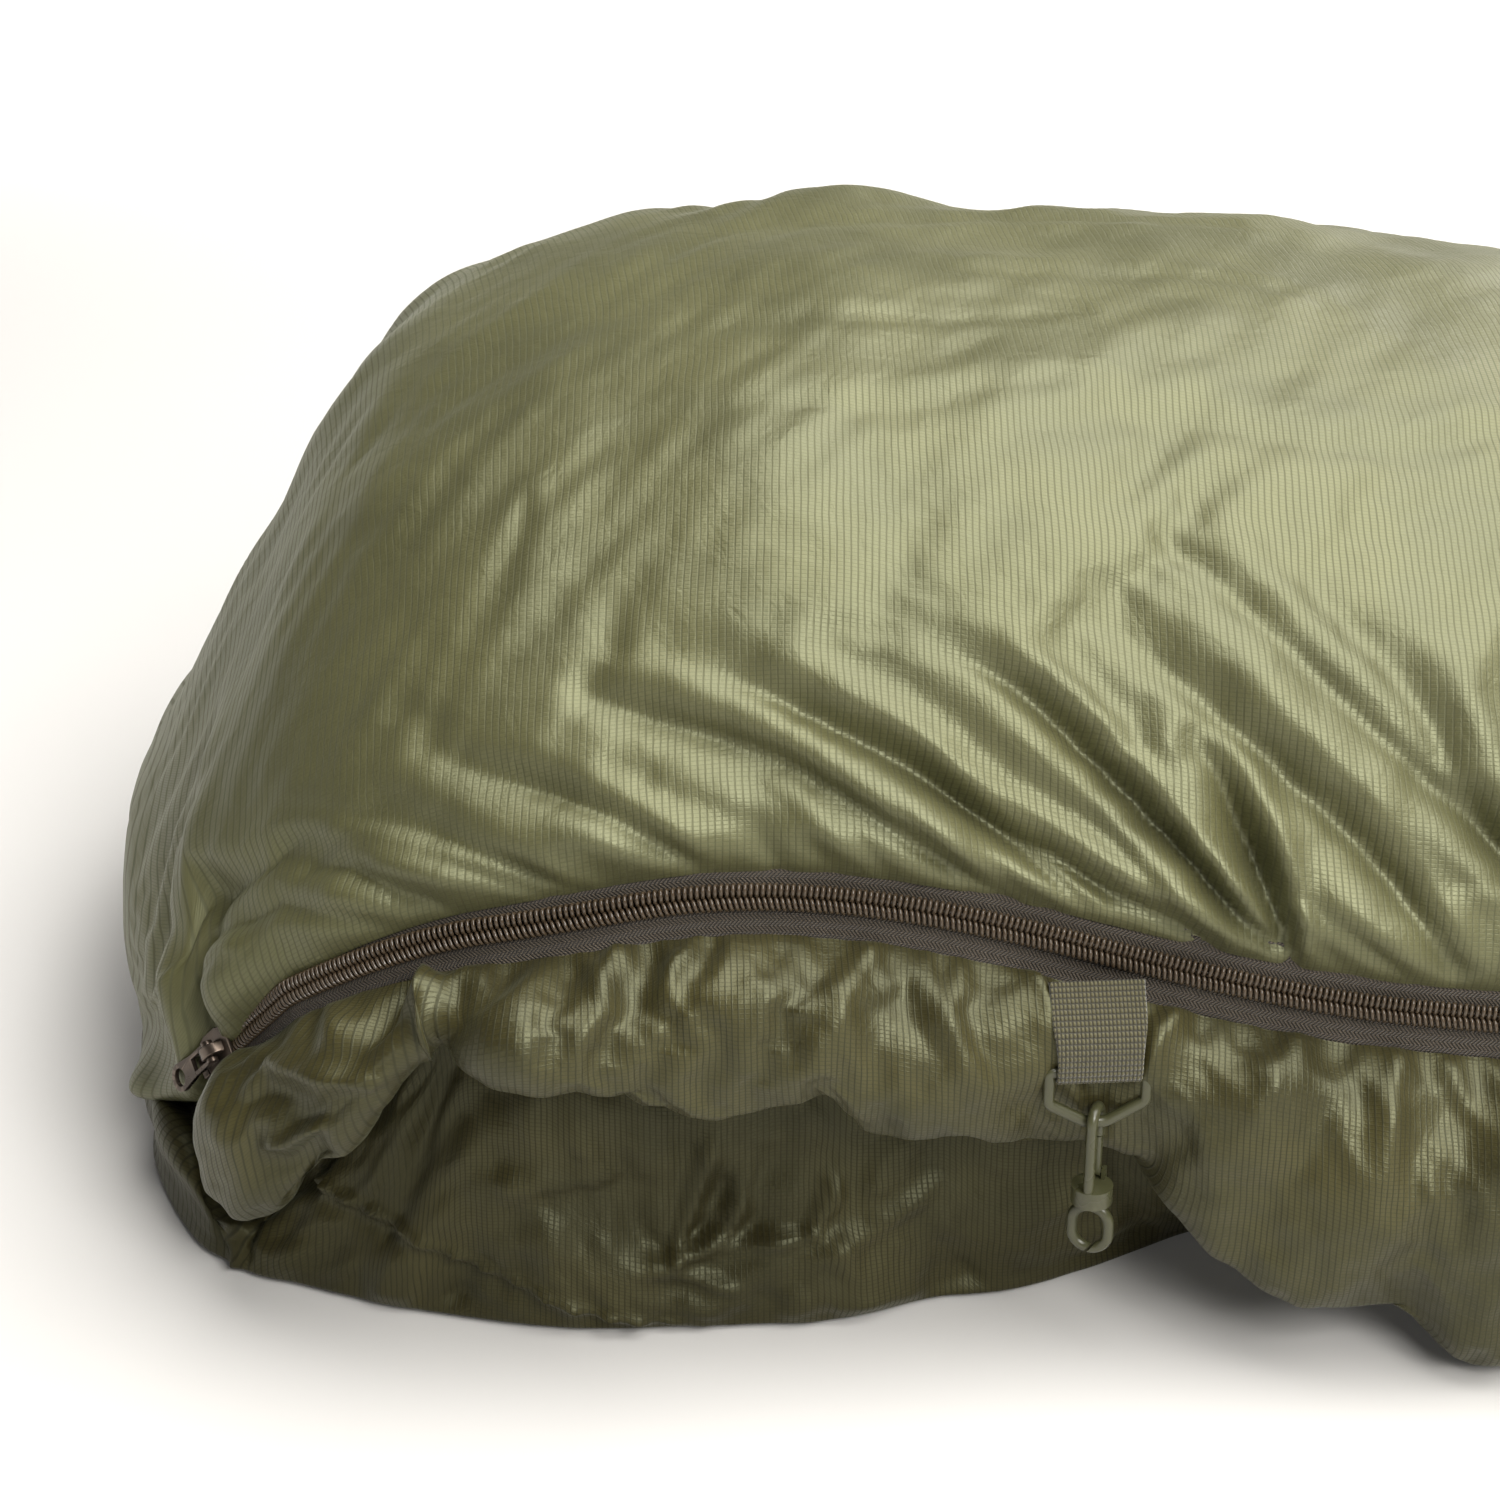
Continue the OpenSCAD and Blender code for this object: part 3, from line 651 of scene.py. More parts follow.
def shell_edge_angle(t):
    """The shell's near edge: along the foot corner's lower hem, then beside the zip."""
    hem = angle_of(t, table(t, [(0, 14), (8, 20), (20, 32), (27, 42), (31, 58)]))
    beside = border_angle(t, BORDER_UP)
    return hem + (beside - hem) * ease(SHELL_START - 1, SHELL_START + 4, t)


def shell_rows():
    nose = nose_places(0.014, math.acos(0.8), 76)
    near = growing(60, DETAIL_END, 1.7, 1.9, 400)[1:]
    return np.concatenate([nose, near, growing(DETAIL_END, UPPER_END, 2.2, 7, 260)[1:]])


def shell_grid():
    """The smooth upper shell: rows across the sack from the near edge over to the far seam."""
    rows = shell_rows()
    share = growing(0, 620, 1.5, 7.0, 420)
    share = share / share[-1]
    first = shell_edge_angle(rows)
    last = 180 - np.where(rows < 36, -9.5 + (zip_angle(36.0) + 9.5) * ease(28, 36, rows), zip_angle(rows))
    k = np.linspace(0, 1, 420)
    fine = body_point(rows[:, None], first[:, None] + (last - first)[:, None] * k)
    run = run_along(fine, 1)
    points = np.empty((len(rows), len(share), 3))
    for i in range(len(rows)):
        points[i] = read_along(share * run[i, -1], run[i], fine[i])
    return rows, points


# Long folds that run down the shell into the zip: (t, distance above the zip), then depth, width
LONG_FOLDS = [
    ([(128, 64), (153, 46), (196, 27), (222, 13), (250, 0)], 5.5, 5.0),
    ([(160, 60), (189, 47), (217, 34), (250, 19), (302, 2)], 6.5, 5.5),
    ([(223, 62), (251, 59), (274, 43), (294, 25), (318, 5)], 8.0, 4.6),
    ([(296, 62), (309, 40), (318, 18), (324, 1)], 9.5, 4.2),
    ([(268, 90), (300, 68), (323, 51), (343, 34), (366, 6)], 5.0, 6.5),
    ([(322, 118), (352, 84), (368, 58), (380, 36), (396, 6)], 4.5, 7.0),
    ([(205, 46), (226, 33), (243, 21), (270, 4)], 3.0, 3.2),
    ([(100, 44), (128, 30), (150, 16), (168, 2)], 3.4, 4.2),
    ([(78, 40), (98, 27), (118, 14), (132, 2)], 2.2, 4.0),
]


# How far the stuffing pushes the top out from the smooth shell, by distance from the foot end
STUFFING = [(0, -3), (9, -9), (38, -10), (70, -1), (93, 4), (125, -1), (154, -6), (211, -11),
            (271, -13), (327, -8), (385, -1), (430, 1), (560, 0), (900, -2), (2100, 0)]
# Faint creases on the top: (x, y), depth, width
TOP_CREASES = [
    ([(-905, -52), (-870, -60), (-815, -70), (-760, -62)], 0.9, 4.0),
    ([(-930, -110), (-885, -104), (-825, -112), (-770, -100)], 0.8, 5.0),
    ([(-840, -20), (-790, -34), (-735, -30), (-690, -44)], 1.0, 5.0),
    ([(-800, -120), (-750, -112), (-700, -120), (-640, -104)], 1.1, 6.0),
    ([(-880, 30), (-820, 22), (-770, 34), (-700, 28)], 1.0, 6.0),
    ([(-940, -140), (-925, -128), (-921, -112)], 0.7, 3.0),
]


def shell_relief(rows, points):
    """How far the cloth stands out from the smooth shell."""
    t = rows[:, None] + np.zeros(points.shape[1])
    s = run_along(points, 1)
    x, y = points[..., 0], points[..., 1]
    at_zip = ease(SHELL_START, SHELL_START + 8, t)
    relief = np.zeros(t.shape)
    add_creases(relief, t, s, LONG_FOLDS, at_zip, skew=0.75)
    rng = np.random.default_rng(5)
    for place in scattered(430, 1990, 46, 6):
        long = rng.uniform(60, 150)
        lean = rng.uniform(0.5, 1.3)
        path = [(place - lean * long, long), (place - 0.5 * lean * long, 0.45 * long), (place, 1)]
        relief += crease(t, s, path, rng.uniform(2.5, 6), rng.uniform(4.5, 7.5), skew=0.8)
    short = scattered(46, 2050, 15, 11)
    relief += gathers(t, s, short, 12, (0.7, 2.6), (1.8, 3.6), (10, 34), (-1.9, -0.5)) * at_zip
    # the folds calm down where the cloth is sewn to the tape
    relief *= 0.3 + 0.7 * ease(0, 9, s)
    relief += 4.5 * hump(s - 15, 11) * at_zip * (0.7 + 0.3 * waves(t, s, 45, 31))
    relief -= 5.2 * np.exp(-s / 4.5) * at_zip
    # room for the sliders and their pulls
    relief -= 4.0 * hump(s, 16) * hump(t - 44, 17) + 1.8 * hump(s, 9) * ease(1660, 1710, t)
    relief += 2.6 * waves(x, y * 0.8, 210, 21) * ease(20, 120, s)
    relief += 0.9 * waves(x * 0.9, y, 75, 22) * ease(10, 80, s)
    relief += 0.22 * waves(x + y, y - x, 22, 23, 3.0) * ease(0, 60, s)
    far = s[:, -1:] - s
    relief += gathers(t, far, scattered(50, 2050, 26, 14), 15, (1.0, 3.2), (3, 6), (20, 70), (-1.2, 0.8))
    relief += 4.0 * hump(far - 16, 12) - 4.5 * np.exp(-far / 5)
    add_creases(relief, x, y, TOP_CREASES, lip=0.7)
    relief *= ease(0, 14, t) * (1 - ease(2010, 2054, t))
    return relief + table(t, STUFFING) * ease(50, 140, s) * ease(30, 120, far)


def make_upper_shell():
    rows, points = shell_grid()
    s = run_along(points, 1)
    t = rows[:, None] + np.zeros(points.shape[1])
    relief = shell_relief(rows, points)
    normal = grid_normals(points)
    if normal[len(rows) // 2, normal.shape[1] // 2, 2] < 0:
        normal = -normal
    moved = raised(points, relief, normal)
    count = int(np.searchsorted(rows, 640))
    held = held_edges(t[:count].shape, (3, 3), (2, 3))
    fade = (ease(1, 30, s[:count]) * (1 - ease(560, 630, t[:count])))[..., None]
    moved[:count] += settle(moved[:count], (4, 3), held, 0.018, 0.25, 5.0, 0.03) * fade
    # the hem at the foot corner: it rolls under, with a pointed ear at its lowest corner
    on_foot = 1 - ease(SHELL_START - 2, SHELL_START + 5, t)
    x, y, z = points[..., 0], points[..., 1], points[..., 2]
    curl = on_foot * ease(3, 9, t)
    moved = raised(moved, -12 * curl * hump(s, 6), normal)
    moved[..., 2] += 3 * curl * hump(s, 5)
    ear = np.exp(-((y + 108) / 15) ** 2 - ((z - 27) / 14) ** 2) * (x < -1000)
    moved[..., 0] -= 9 * ear
    moved[..., 1] -= 4 * ear
    # the upright tuck beside the zip's end
    tuck = crease(x, z, [(-998, 121), (-1012, 112), (-1018, 92), (-1019, 58)], 7.0, 4.0, lip=0.5)
    moved = raised(moved, tuck * (y < -60), normal)
    moved[..., 2] = np.maximum(moved[..., 2], 0.6)
    u = x - FOOT_X + (y / 60) ** 2
    obj = cloth_piece("upper_shell_cloth", moved, TOP_CLOTH, u, s)
    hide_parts("upper_shell", "upper_fill")


# ---- side panels

# Height of the lower edge of the gathered roll, by distance from the foot end
ROLL_LOW = [(30, 34), (44, 31), (56, 33), (76, 56), (86, 72), (95, 90), (104, 97), (118, 97), (147, 87),
            (173, 82), (198, 85), (212, 75), (234, 75), (248, 66), (286, 61), (312, 36), (343, 24),
            (385, 12), (470, 8), (2100, 7)]
# How far the roll stands out from the widest line
ROLL_OUT = [(30, -9), (36, 0), (46, 9), (70, 11), (92, 9), (101, 1), (112, 11), (150, 15), (260, 15),
            (350, 17), (500, 14), (900, 10), (2100, 8)]
# Single creases in the roll: (t, distance below the tape), depth, width
ROLL_CREASES = [
    ([(99, 34), (100, 22), (100, 8), (99, -2)], 7.0, 3.6),
    ([(166, 24), (160, 16), (166, 6), (170, -2)], 3.5, 3.2),
    ([(58, 14), (66, 20), (78, 27), (90, 33)], 2.6, 3.0),
    ([(62, 40), (70, 44), (78, 42)], 4.0, 3.5),
]
PANEL_END = 2096.0


def side_edge(t):
    """Where the side panel is sewn to the lower tape."""
    run, p, _, across, out = zip_frames(1.5, 6.0)
    q = p - table(run, BORDER_DOWN)[:, None] * across + 0.8 * out
    q = q[np.argsort(q[:, 0])]
    return read_along(t, q[:, 0] - FOOT_X, q[:, 1:]).T


def section_controls(rows):
    """Control points from (outward, height) pairs, each an array or one number."""
    return np.array([np.stack(np.broadcast_arrays(o, z), -1) for o, z in rows])


def panel_section(t, out_by, low, edge_y, edge_z):
    """Control points of the roll's section, as (outward, height), from the tape to the tuck."""
    line, normal = plan_line(t)
    edge_out = ((edge_y - line[:, 1]) * normal[:, 1])
    line = np.stack([line[:, 0], edge_y], -1) - edge_out[:, None] * normal
    h = np.maximum(edge_z - low, 8)
    rows = [
        (edge_out, edge_z),
        (edge_out + 0.72 * (out_by - edge_out) + 2, edge_z - 0.03 * h),
        (out_by + 3, edge_z - 0.34 * h),
        (out_by + 3, low + 0.28 * h),
        (out_by - 1, low - 2),
        (out_by - 13, low - 3),
        (np.minimum(out_by - 24, -16), low + 8),
        (np.minimum(out_by - 30, -26) + 0 * t, low + 20),
    ]
    return line, normal, section_controls(rows)


def closed_end(t, profile):
    """Draws the roll in to the wall at the head end, so that it doesn't end open."""
    drawn = ease(2050, PANEL_END, t)[:, None]
    profile[..., 0] = profile[..., 0] * (1 - drawn) - 5 * drawn
    return profile


def panel_points(profile, line, normal):
    """Points in space from profiles of (outward, height)."""
    plan = line[:, None, :] + profile[..., 0:1] * normal[:, None, :]
    return np.concatenate([plan, profile[..., 1:2]], -1)


def make_side_panel():
    t = np.concatenate([growing(31, DETAIL_END, 1.2, 1.5, 300),
                        growing(DETAIL_END, PANEL_END, 2, 6, 200)[1:]])
    y, z = side_edge(t)
    low = table(t, ROLL_LOW) + 5 * waves(t, 0 * t, 90, 41) * ease(420, 600, t) + 5 * ease(420, 600, t)
    out_by = table(t, ROLL_OUT) - 11 * hump(t - 272, 26) + 2.5 * waves(t, 0 * t, 80, 42) * ease(110, 200, t)
    line, normal, controls = panel_section(t, out_by, low, y, z)
    points = panel_points(closed_end(t, spline(controls, 96)), line, normal)
    s = run_along(points, 1)
    u = t[:, None] + 0 * s
    n = -grid_normals(points)
    relief = gathers(u, s, scattered(52, 2080, 11, 43), 44, (0.8, 2.4), (1.6, 3.0), (8, 24), (-0.5, 0.5))
    relief += gathers(u, s, scattered(48, 2080, 27, 45), 46, (1.5, 4.2), (3.0, 5.5), (26, 80), (-0.55, 0.45))
    add_creases(relief, u, s, ROLL_CREASES)
    relief += 2.0 * waves(u, s, 50, 47) * ease(4, 22, s) * (0.35 + 0.65 * ease(85, 120, u))
    relief += 0.4 * waves(u, s, 24, 48, 0.6) * ease(4, 18, s)
    relief += 0.12 * waves(u, s, 10, 49) * ease(2, 10, s)
    relief *= ease(-2, 5, s) * (0.25 + 0.75 * ease(31, 46, u))
    end = 1 - ease(2050, 2090, u)
    moved = raised(points, relief * (0.3 + 0.7 * end), n)
    held = held_edges(u.shape, (2, 4), (2, 8))
    moved = moved + settle(moved, (3, 3), held, 0.03, 0.5, 5.0, 0.6)
    moved[..., 2] = np.maximum(moved[..., 2], 1.0 + 0.5 * np.sin(u / 9))
    obj = cloth_piece("zip_side_cloth", moved, SHADED_SIDE_CLOTH, u, s)
    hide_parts("zip_side_panel", "lower_fill")


def make_far_panel():
    t = np.concatenate([growing(28, DETAIL_END, 2.6, 3.5, 300),
                        growing(DETAIL_END, PANEL_END, 4, 7, 200)[1:]])
    top = body_point(t, 180 - zip_angle(np.maximum(t, 36)) * ease(28, 36, t) + 9 * (1 - ease(28, 36, t)))
    line, normal = plan_line(t)
    edge_out = (-top[:, 1] - line[:, 1]) * normal[:, 1] - 3
    edge_z = top[:, 2] - 1
    h = edge_z - 6
    rows = [(edge_out, edge_z), (edge_out + 5, edge_z - 0.1 * h), (8, edge_z - 0.4 * h), (9, 0.35 * edge_z),
            (4, 6 + 0 * t), (-8, 3 + 0 * t), (-26, 8 + 0 * t)]
    controls = section_controls(rows)
    points = panel_points(closed_end(t, spline(controls, 44)), line, normal)
    points[..., 1] *= -1
    s = run_along(points, 1)
    u = t[:, None] + 0 * s
    n = grid_normals(points)
    relief = gathers(u, s, scattered(40, 2090, 24, 53), 54, (1.0, 3.6), (3, 6), (22, 90), (-0.5, 0.5))
    relief += 2.0 * waves(u, s, 60, 57) * ease(4, 22, s) + 0.5 * waves(u, s, 24, 58)
    relief *= ease(28, 60, u)
    moved = raised(points, relief, n)
    moved[..., 2] = np.maximum(moved[..., 2], 1.0)
    obj = cloth_piece("far_side_cloth", moved, SHADED_SIDE_CLOTH, u, s, flip=True)
    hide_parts("far_side_panel")


# ---- base: a shallow tub

# Outline on the floor beside the widest line, by distance from the foot end on the near side
FLOOR_OUT = [(0, -7), (8, -2), (16, 0), (26, 1), (38, -2), (53, -8), (88, -11), (146, -7), (196, -7),
             (213, -11), (232, -18), (255, -22), (276, -32), (315, -55), (380, -60), (520, -34), (2100, -22)]
# Top of the corner's collar, then of the wall behind the roll
TUB_TOP = [(0, 18), (6, 31), (10, 34), (26, 28), (36, 14), (44, 26), (56, 40)]
# Creases on the base's wall: (x, z), depth, width
BASE_CREASES = [
    ([(-875, 66), (-880, 46), (-888, 24)], 3.0, 2.4),
    ([(-865, 62), (-869, 45), (-873, 31), (-888, 22)], 2.6, 2.2),
    ([(-909, 15), (-885, 23), (-851, 29)], 2.2, 2.6),
    ([(-840, 62), (-843, 44), (-850, 30)], 2.4, 2.6),
    ([(-905, 26), (-890, 20), (-872, 14)], 1.6, 2.0),
    ([(-858, 22), (-840, 26), (-815, 40)], 1.8, 3.0),
    ([(-950, 50), (-930, 46), (-905, 48)], 1.5, 3.0),
]


def base_side(t, far):
    """One side of the tub: its wall from inside the roll down to the floor, and a strip of floor.
    Where collar is 1, at the foot corner, the wall stands outside the shell instead."""
    line, normal = plan_line(t)
    if far:
        out = np.full(len(t), -7.0)
        top = 12 + 24 * (1 - ease(20, 44, t))
        inner = 1.9 * top - 11
        collar = np.zeros(len(t))
    else:
        out = table(t, FLOOR_OUT)
        top = np.where(t < 56, table(t, TUB_TOP), table(t, ROLL_LOW) + 8)
        inner = top + 14
        collar = 1 - ease(33, 40, t)
    wall = 1 - collar
    rows = [
        (-26, inner * wall + 58 * collar),
        (-22 * wall - 20 * collar, top * wall + (top - 6) * collar),
        (-17 * wall - 9 * collar, (top - 6) * wall + (top - 3) * collar),
        ((0.5 * out - 9) * wall + 3 * collar, 0.5 * top * wall + (top + 5) * collar),
        ((0.8 * out - 2) * wall + (out + 5) * collar, 0.25 * top * wall + 0.6 * top * collar),
        (out + 1.5, 3),
        (out + 0.5, 0.9),
        (out - 8, 0.8),
        (out - 40, 1.0),
    ]
    points = panel_points(spline(section_controls(rows), 84), line, normal)
    return points * [1, -1, 1] if far else points


def floor_faces(x, near_ids, far_ids):
    """Triangles that join the floor strips of the two sides. x is each point's place in length."""
    faces = []
    i, j = 0, 0
    last_i, last_j = len(near_ids) - 1, len(far_ids) - 1
    while i < last_i or j < last_j:
        next_i = x[near_ids[min(i + 1, last_i)]]
        next_j = x[far_ids[min(j + 1, last_j)]]
        if j >= last_j or (i < last_i and next_i <= next_j):
            faces.append([near_ids[i], near_ids[i + 1], far_ids[j]])
            i += 1
        else:
            faces.append([far_ids[j], near_ids[i], far_ids[j + 1]])
            j += 1
    return faces


def make_base():
    near = np.concatenate([nose_places(0.0, 0.42, 60), growing(26, DETAIL_END, 1.6, 2.0, 300)[1:],
                           growing(DETAIL_END, 2098, 3, 8, 200)[1:]])
    far = np.concatenate([nose_places(0.0, 0.42, 30), growing(26, 2098, 4, 9, 200)[1:]])[::-1][:-1]
    t = np.concatenate([-far, near])
    points = np.concatenate([base_side(far, True), base_side(near, False)])
    s = run_along(points, 1)
    u = t[:, None] + 0 * s
    n = -grid_normals(points)
    x, z = points[..., 0], points[..., 2]
    front = (u > 36) & (u < 360)
    relief = 1.6 * waves(u, s, 55, 61) + 0.7 * waves(u, s, 24, 62, 0.6) + 0.2 * waves(u, s, 9, 63)
    add_creases(relief, x, z, BASE_CREASES, front, lip=0.6)
    hem = table(u, [(40, 34), (54, 32), (82, 27), (114, 17), (141, 8), (174, 2), (400, -30)])
    relief -= 2.2 * hump(z - hem, 1.3) * front * (1 + 0.5 * np.sin(u / 1.4))
    relief += 1.2 * hump(z - hem + 4, 3) * front
    relief += crease(x, z, [(-1011, 40), (-1012, 26), (-1013, 12), (-1012, -4)], 6.0, 2.2, lip=0.7) * (u > 20)
    relief *= ease(0.6, 8, z)
    moved = raised(points, relief, n)
    moved[..., 2] = np.maximum(moved[..., 2], 0.5)
    cloth = np.stack([u + 900, s], -1)
    rows, cols = moved.shape[:2]
    verts = moved.reshape(-1, 3)
    inner = [i * cols + cols - 1 for i in range(rows)]
    faces = grid_faces(rows, cols).tolist()
    faces += floor_faces(verts[:, 0], inner[len(far):], inner[:len(far)][::-1])
    obj = new_object("base_cloth_tub", verts, faces, "sack", SHADED_BASE_CLOTH, cloth)
    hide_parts("base_panel")


# ---- zip

TAPE_W = 12.0
HALF_GAP = 0.7
COIL_PITCH = 1.55
COIL_W, COIL_H = 3.5, 2.4
WIRE = 0.47             # half the coil wire's thickness


def make_tape(name, side):
    run, p, _, across, out = zip_frames(1.4, 6.0)
    places = side * np.array([0.35, 0.5, 2.5, 4.5, 6.5, 8.5, 10.5, TAPE_W + 0.4, TAPE_W + HALF_GAP])
    lift = np.array([-0.5, 0, 0, 0, 0, 0, 0, 0, -0.5])
    wave = 0.35 * waves(run, run * 0, 26, 71 + side)
    edge = np.clip((np.abs(places) - 5) / 8, 0, 1)
    points = (p[:, None] + places[None, :, None] * across[:, None]
              + (lift[None, :, None] + wave[:, None, None] * edge[None, :, None]) * out[:, None])
    obj = cloth_piece(name, points, TAPE, run[:, None], places[None], flip=side > 0)
    node = "zip_tape_upper" if side > 0 else "zip_tape_lower"
    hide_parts(node)


def make_coil(name, side):
    """One spiral of monofilament teeth, flattened, with each turn leaning towards the other coil."""
    run, p, along, across, out = zip_frames(1.4, 6.0)
    start = TAPE_EARLY + 0.4
    total = run[-1] - start - 0.4
    turns = int(total / COIL_PITCH)
    detailed = int(620 / COIL_PITCH)
    verts, faces = [], []
    # turns, points in a turn, sides of the wire and turns before, near the foot and then beyond
    for count, per, sides, before in ((detailed, 16, 6, 0), (turns - detailed, 8, 4, detailed)):
        turn = np.arange(count * per + 1) / per + before
        angle = 2 * math.pi * turn
        # section of the spiral: from the middle of the chain out to the tape, and back lower
        c = np.cos(angle)
        sn = np.sin(angle)
        across_by = side * (COIL_W / 2 + 0.05 + (COIL_W / 2 - 0.2) * np.sign(-c) * np.abs(c) ** 0.75)
        height = 0.5 + COIL_H / 2 + (COIL_H / 2 - 0.15) * sn
        lean = 0.14 * side * COIL_PITCH * c
        where = start + COIL_PITCH * (turn + (0.5 if side > 0 else 0.0)) + lean
        at_p, at_along, at_across, at_out = [read_along(where, run, a) for a in (p, along, across, out)]
        centre = at_p + across_by[:, None] * at_across + height[:, None] * at_out
        tangent = unit(np.gradient(centre, axis=0))
        side_dir = unit(np.cross(tangent, unit(at_along)))
        other = np.cross(tangent, side_dir)
        ring = np.arange(sides) * 2 * math.pi / sides
        tube = centre[:, None] + WIRE * (np.cos(ring)[None, :, None] * side_dir[:, None]
                                         + np.sin(ring)[None, :, None] * other[:, None] * 1.15)
        base = sum(len(v) for v in verts)
        verts.append(tube.reshape(-1, 3))
        faces.append(grid_faces(len(centre), sides, wrap=True) + base)
    obj = new_object(name, np.concatenate(verts), np.concatenate(faces), "sack", COIL)
    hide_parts("zip_coil_upper" if side > 0 else "zip_coil_lower")


# ---- mouth, lining

LINING_INSET = (48, 52, 44, 48)
MIDDLE = np.array([0, 0, 95.0])     # the lining's folds lean in towards this line


def make_lining():
    t = growing(LINING_INSET[3] + 0.5, UPPER_END - 2, 6, 11, 500)
    k = np.linspace(0, 1, 90)
    first = zip_angle(np.maximum(t, 36))
    a = first[:, None] + (180 - 2 * first)[:, None] * k
    points = body_point(t[:, None], a, LINING_INSET)
    u = t[:, None] + 0 * a
    relief = 3.0 * waves(u, points[..., 1], 120, 81) + 1.3 * waves(u, points[..., 1], 45, 82)
    relief *= ease(60, 200, u) * (1 - ease(2000, 2055, u))
    moved = raised(points, np.abs(relief), unit(MIDDLE - points * [0, 1, 1]))
    upper = cloth_piece("upper_lining_cloth", moved, LINING, u, run_along(points, 1), flip=True)
    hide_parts("upper_lining", "draft_tube")
    t = growing(LINING_INSET[3] + 0.5, LENGTH - 4, 6, 11, 500)
    first = zip_angle(np.maximum(t, 36))
    down = first[:, None] + (-10 - first)[:, None] * np.linspace(0, 1, 16)
    near = near_point(t[:, None], down, LINING_INSET)
    far = near[:, ::-1] * [1, -1, 1]
    share = np.linspace(0, 1, 62)[1:-1, None]
    floor = near[:, -1:, :] * (1 - share) + far[:, :1, :] * share
    points = np.concatenate([near, floor, far], 1)
    u = t[:, None] + 0 * points[..., 0]
    relief = 3.0 * waves(u, points[..., 1], 110, 83) + 1.3 * waves(u, points[..., 1], 40, 84)
    relief *= ease(60, 200, u) * (1 - ease(2030, 2090, u))
    moved = raised(points, np.abs(relief), unit(MIDDLE - points * [0, 1, 1]))
    lower = cloth_piece("lower_lining_cloth", moved, LINING, u, run_along(points, 1))
    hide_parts("lower_lining")


def rim(name, outer, inner, forward, node, seed):
    """A stuffed rim that joins the shell to the lining at the mouth."""
    n = 22
    k = np.linspace(0, 1, n)[None, :, None]
    run = run_along(outer[None], 1)[0]
    puff = np.sin(np.linspace(0, math.pi, n)) ** 0.6
    swell = forward * (1 + 0.14 * waves(run, run * 0, 60, seed) + 0.08 * waves(run, run * 0, 22, seed + 1))
    points = outer[:, None] * (1 - k) + inner[:, None] * k
    points = points + (swell[:, None] * puff[None])[..., None] * np.array([1.0, 0, 0])
    side = run_along(points, 1)
    along = run[:, None] + 0 * side
    places = scattered(5, run[-1], 17, seed + 2)
    pinch = gathers(along, np.abs(side - side[:, -1:] / 2), places, seed + 3, (0.6, 2.0), (2, 4), (14, 30),
                    (-0.3, 0.3))
    points[..., 0] += pinch * puff[None]
    obj = cloth_piece(name, points, TOP_CLOTH, along, side)
    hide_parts(node)


def make_mouth():
    a0 = float(zip_angle(UPPER_END))
    ring = np.concatenate([np.linspace(a0, 90, 150), np.linspace(90, 180 - a0, 150)[1:]])
    outer = body_point(UPPER_END - 1.0 + 0 * ring, ring)
    inner = body_point(UPPER_END - 1.0 + 0 * ring, ring, LINING_INSET)
    rim("mouth_rim_upper", outer, inner, 16, "mouth_binding_upper", 91)
    a0 = float(zip_angle(LENGTH - 5))
    down = np.linspace(a0, -10, 36)
    t = LENGTH - 5 + 0 * down
    rims = []
    for inset in ((0, 0, 0, 0), LINING_INSET):
        near = near_point(t, down, inset)
        far = near[::-1] * [1, -1, 1]
        share = np.linspace(0, 1, 160)[1:-1, None]
        rims.append(np.concatenate([near, near[-1:] * (1 - share) + far[:1] * share, far]))
    rims[0][:, 2] = np.maximum(rims[0][:, 2], 1.5)
    rim("mouth_rim_lower", rims[0], rims[1], 14, "mouth_binding_lower", 95)


# ---- webbing tab

# Where the ring's top bar runs through the loop
TAB_X = FOOT_X + 272
TAB_Y = -218.06
LOOP_Z = 92.0


